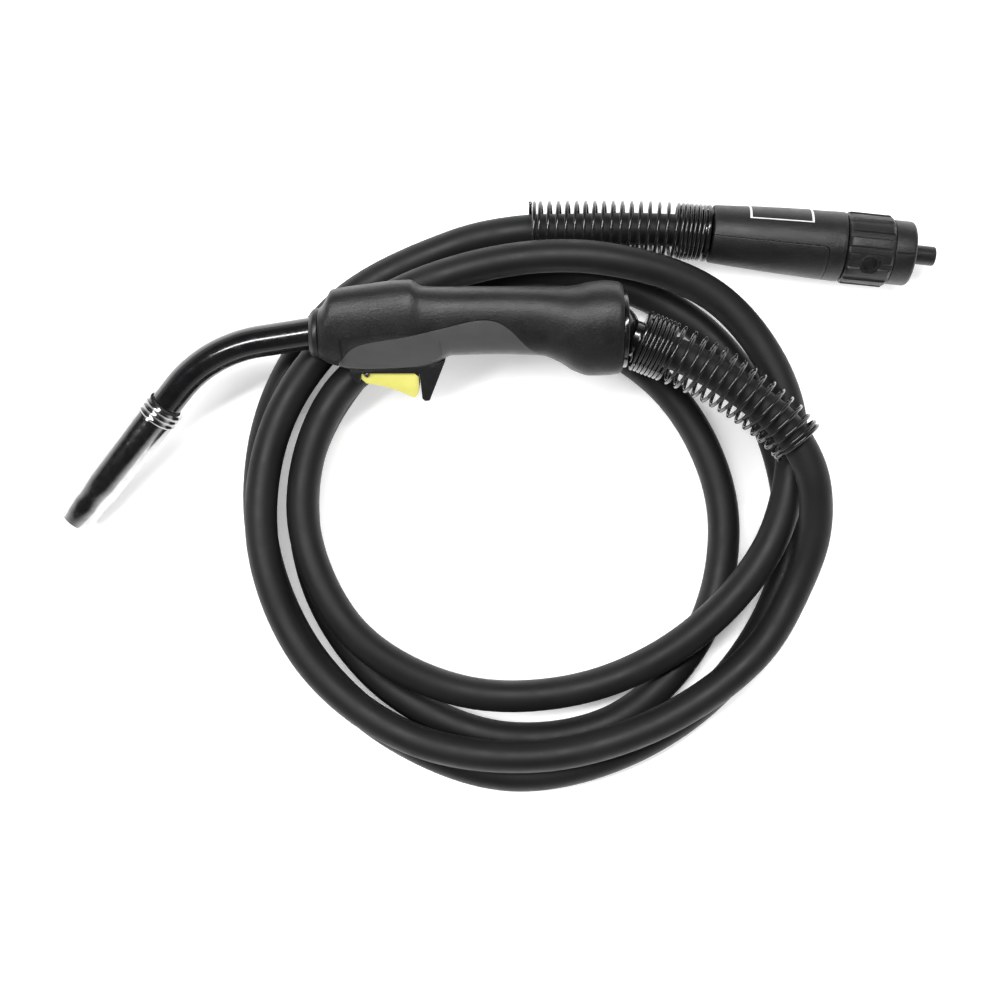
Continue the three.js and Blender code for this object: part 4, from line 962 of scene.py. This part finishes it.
def nut_mesh(name):
    """A ring with broad round-edged ribs that fade out before both of its rounded ends."""
    ribs, rib_width, steps = 14, 6.4, 336
    outer = [NUT_START, 96, 96.8, 97.4, 98.2, 105, 112, 119, 125.6, 126.2, 126.6, 127.5, NUT_END]
    inner = [(18, NUT_END), (18, 99), (14.9, 99), (14.9, NUT_START)]
    points = []
    for k in range(steps):
        angle = 360 * k / steps
        off = abs((angle / (360 / ribs)) % 1 - 0.5) * 360 / ribs
        half = math.degrees(rib_width / 2 / 24.4)
        rise = min(max((half - off) / 1.3 + 0.5, 0), 1)
        rise = rise * rise * (3 - 2 * rise)
        c, s = math.cos(math.radians(angle)), math.sin(math.radians(angle))
        for a in outer:
            from_end = min(a - NUT_START, NUT_END - a, 1)
            rib_share = min(max((a - NUT_START - 1) / 1.1, 0), max((NUT_END - 1.2 - a) / 1.1, 0), 1)
            radius = NUT_R - 1 + math.sqrt(max(from_end, 0)) + RIB_RISE * rise * rib_share
            points.append((a, radius * c, radius * s))
        points += [(a, r * c, r * s) for r, a in inner]
    return object_of(name, points, skin(steps, len(outer) + len(inner), closed=True), PLUG)


nut = nut_mesh("hand_nut_moulding")
hole_place = PLUG @ turned_about("X", 35) @ Matrix.Translation((111.8, 0, 0)) @ turned_about("Y", -90)
recess = polygon_rod("recess", 8, 7.5, 23.2, 40, hole_place, turn=0.5)
well = lathe("well", [(0, 20.4), (5.1, 20.4), (5.1, 40), (0, 40)], hole_place, 48)
trimmed(nut, "DIFFERENCE", recess, well)
softened(nut, 0.25, sharp=42)
dressed(nut, "nut", "shell", "hand_nut", sharp=32)

cap_profile = fillet(
    [(14.5, 112), (17.7, 112), (17.7, 128.4), (22.3, 128.4), (22.3, 143.4), (6.7, 143.4), (6.7, 160.9),
     (0, 160.9), (0, 141), (14.5, 141)],
    [0.3, 0.3, 0.3, 0.7, 2.6, 1.2, 1.2, 0, 0, 0.5], 6,
)
cap = lathe("protective_cap_moulding", cap_profile, PLUG, 120)
groove_outline = [(129.4, -0.5), (142.2, -0.5), (142.2, 0.5), (129.4, 0.5)]
groove = prism("groove", groove_outline, 21.9, 24, PLUG @ turned_about("X", 12))
trimmed(cap, "DIFFERENCE", groove)
softened(cap, 0.2, sharp=50)
dressed(cap, "cap", "shell", "protective_cap", sharp=34)

FACE_START, CONTACT_OFFSET, CONTACT_R = 121.3, 9.2, 1.9
contact_places = [PLUG @ Matrix.Translation((0, 0, CONTACT_OFFSET * side)) for side in (1, -1)]
face_corners = [(13.4, FACE_START), (13.4, 125.4), (5.2, 125.4)]
face_profile = [(5.2, FACE_START), *fillet(face_corners, [0.4, 1, 0.4], 4)]
face = lathe("connector_face_moulding", face_profile, PLUG, 96)
hole_r = CONTACT_R + 0.3
hole_profile = [(0, 110), (hole_r, 110), (hole_r, 140), (0, 140)]
trimmed(face, "DIFFERENCE", *[lathe("hole", hole_profile, place, 32) for place in contact_places])
dressed(face, "cable", "gloss_black", "connector_face")
CENTRE_PIN_R, CENTRE_BORE_R, CENTRE_PIN_END = 4.9, 2.2, 137.6
centre_profile = fillet(
    [
        (CENTRE_BORE_R, FACE_START), (CENTRE_PIN_R, FACE_START), (CENTRE_PIN_R, 133), (3.6, 133),
        (3.6, 135.6), (CENTRE_PIN_R, 135.6), (CENTRE_PIN_R, CENTRE_PIN_END - 0.7),
        (CENTRE_PIN_R - 0.7, CENTRE_PIN_END), (CENTRE_BORE_R, CENTRE_PIN_END),
    ],
    0.15, 2,
)
centre_pin = lathe("centre_pin_turning", centre_profile, PLUG, 72)
dressed(centre_pin, "cable", "brass", "centre_pin")
seal_angles = [math.pi * k / 8 for k in range(16)]
seal_profile = [(4.8 + 0.8 * math.cos(a), 134.3 + 0.8 * math.sin(a)) for a in seal_angles]
seal = lathe("centre_pin_o_ring", seal_profile, PLUG, 72)
dressed(seal, "cable", "seal", "centre_pin_seal")
contact_profile = fillet([(0, 115), (CONTACT_R, 115), (CONTACT_R, 132), (0, 132)], [0, 0.2, 1, 0], 5)
for place, word, body in zip(contact_places, ("upper", "lower"), ("control_pin_a", "control_pin_b")):
    contact = lathe(f"control_pin_{word}_turning", contact_profile, place, 40)
    dressed(contact, body, "brass", f"control_pin_{word}")


# ---- contact tip, seen in the nozzle's mouth ----
tip_profile = fillet([(0.6, 64.3), (4, 64.3), (4, 96), (2.9, 105), (0.6, 105)], [0.1, 0.2, 3, 0.5, 0.1], 4)
contact_tip = lathe("contact_tip_turning", tip_profile, NOZZLE, 64)
dressed(contact_tip, "handle", "copper", "contact_tip")


# ---- floor and light ----
floor_mesh = bpy.data.meshes.new("floor")
floor_mesh.from_pydata([(-40, -40, 0), (40, -40, 0), (40, 40, 0), (-40, 40, 0)], [], [(0, 1, 2, 3)])
floor = bpy.data.objects.new("floor", floor_mesh)
bpy.context.collection.objects.link(floor)
floor.location = (0, 0, min(0.0, CAD_BOX[0][2]) - 0.0002)
floor_look = Shader("floor", (0.93, 0.93, 0.93), 0.8, Emission_Color=(1, 1, 1, 1), Emission_Strength=0.3)
floor_mesh.materials.append(floor_look.material)


def area_light(name, place, size, power, seen_in_gloss=True):
    data = bpy.data.lights.new(name, "AREA")
    data.shape = "RECTANGLE"
    data.size, data.size_y = size
    data.energy = power
    made = bpy.data.objects.new(name, data)
    made.location = place
    made.rotation_euler = (Vector((0.1, -0.05, 0)) - Vector(place)).to_track_quat("-Z", "Y").to_euler()
    made.visible_glossy = seen_in_gloss
    bpy.context.collection.objects.link(made)


area_light("key", (-0.15, 0.42, 2.0), (2.2, 0.22), 50)
area_light("left", (-1.9, 0.2, 1.6), (1.4, 1.4), 48, seen_in_gloss=False)
area_light("right", (2.1, -0.6, 1.6), (1.4, 1.4), 48, seen_in_gloss=False)


def studio_world(dark, bright, edge):
    """A pale room under a dark ceiling: brightness falls with the height of the direction."""
    world = bpy.data.worlds.new("world")
    world.use_nodes = True
    tree = world.node_tree
    place = tree.nodes.new("ShaderNodeTexCoord")
    split = tree.nodes.new("ShaderNodeSeparateXYZ")
    ramp = tree.nodes.new("ShaderNodeValToRGB")
    low, high = ramp.color_ramp.elements
    low.position, low.color = edge[0], (bright, bright, bright, 1)
    high.position, high.color = edge[1], (dark, dark, dark, 1)
    tree.links.new(place.outputs["Generated"], split.inputs["Vector"])
    tree.links.new(split.outputs["Z"], ramp.inputs["Fac"])
    tree.links.new(ramp.outputs["Color"], tree.nodes["Background"].inputs["Color"])
    tree.nodes["Background"].inputs["Strength"].default_value = 1
    bpy.context.scene.world = world


studio_world(0.02, 0.75, (0.1, 0.5))
bpy.context.scene.view_settings.view_transform = "Standard"
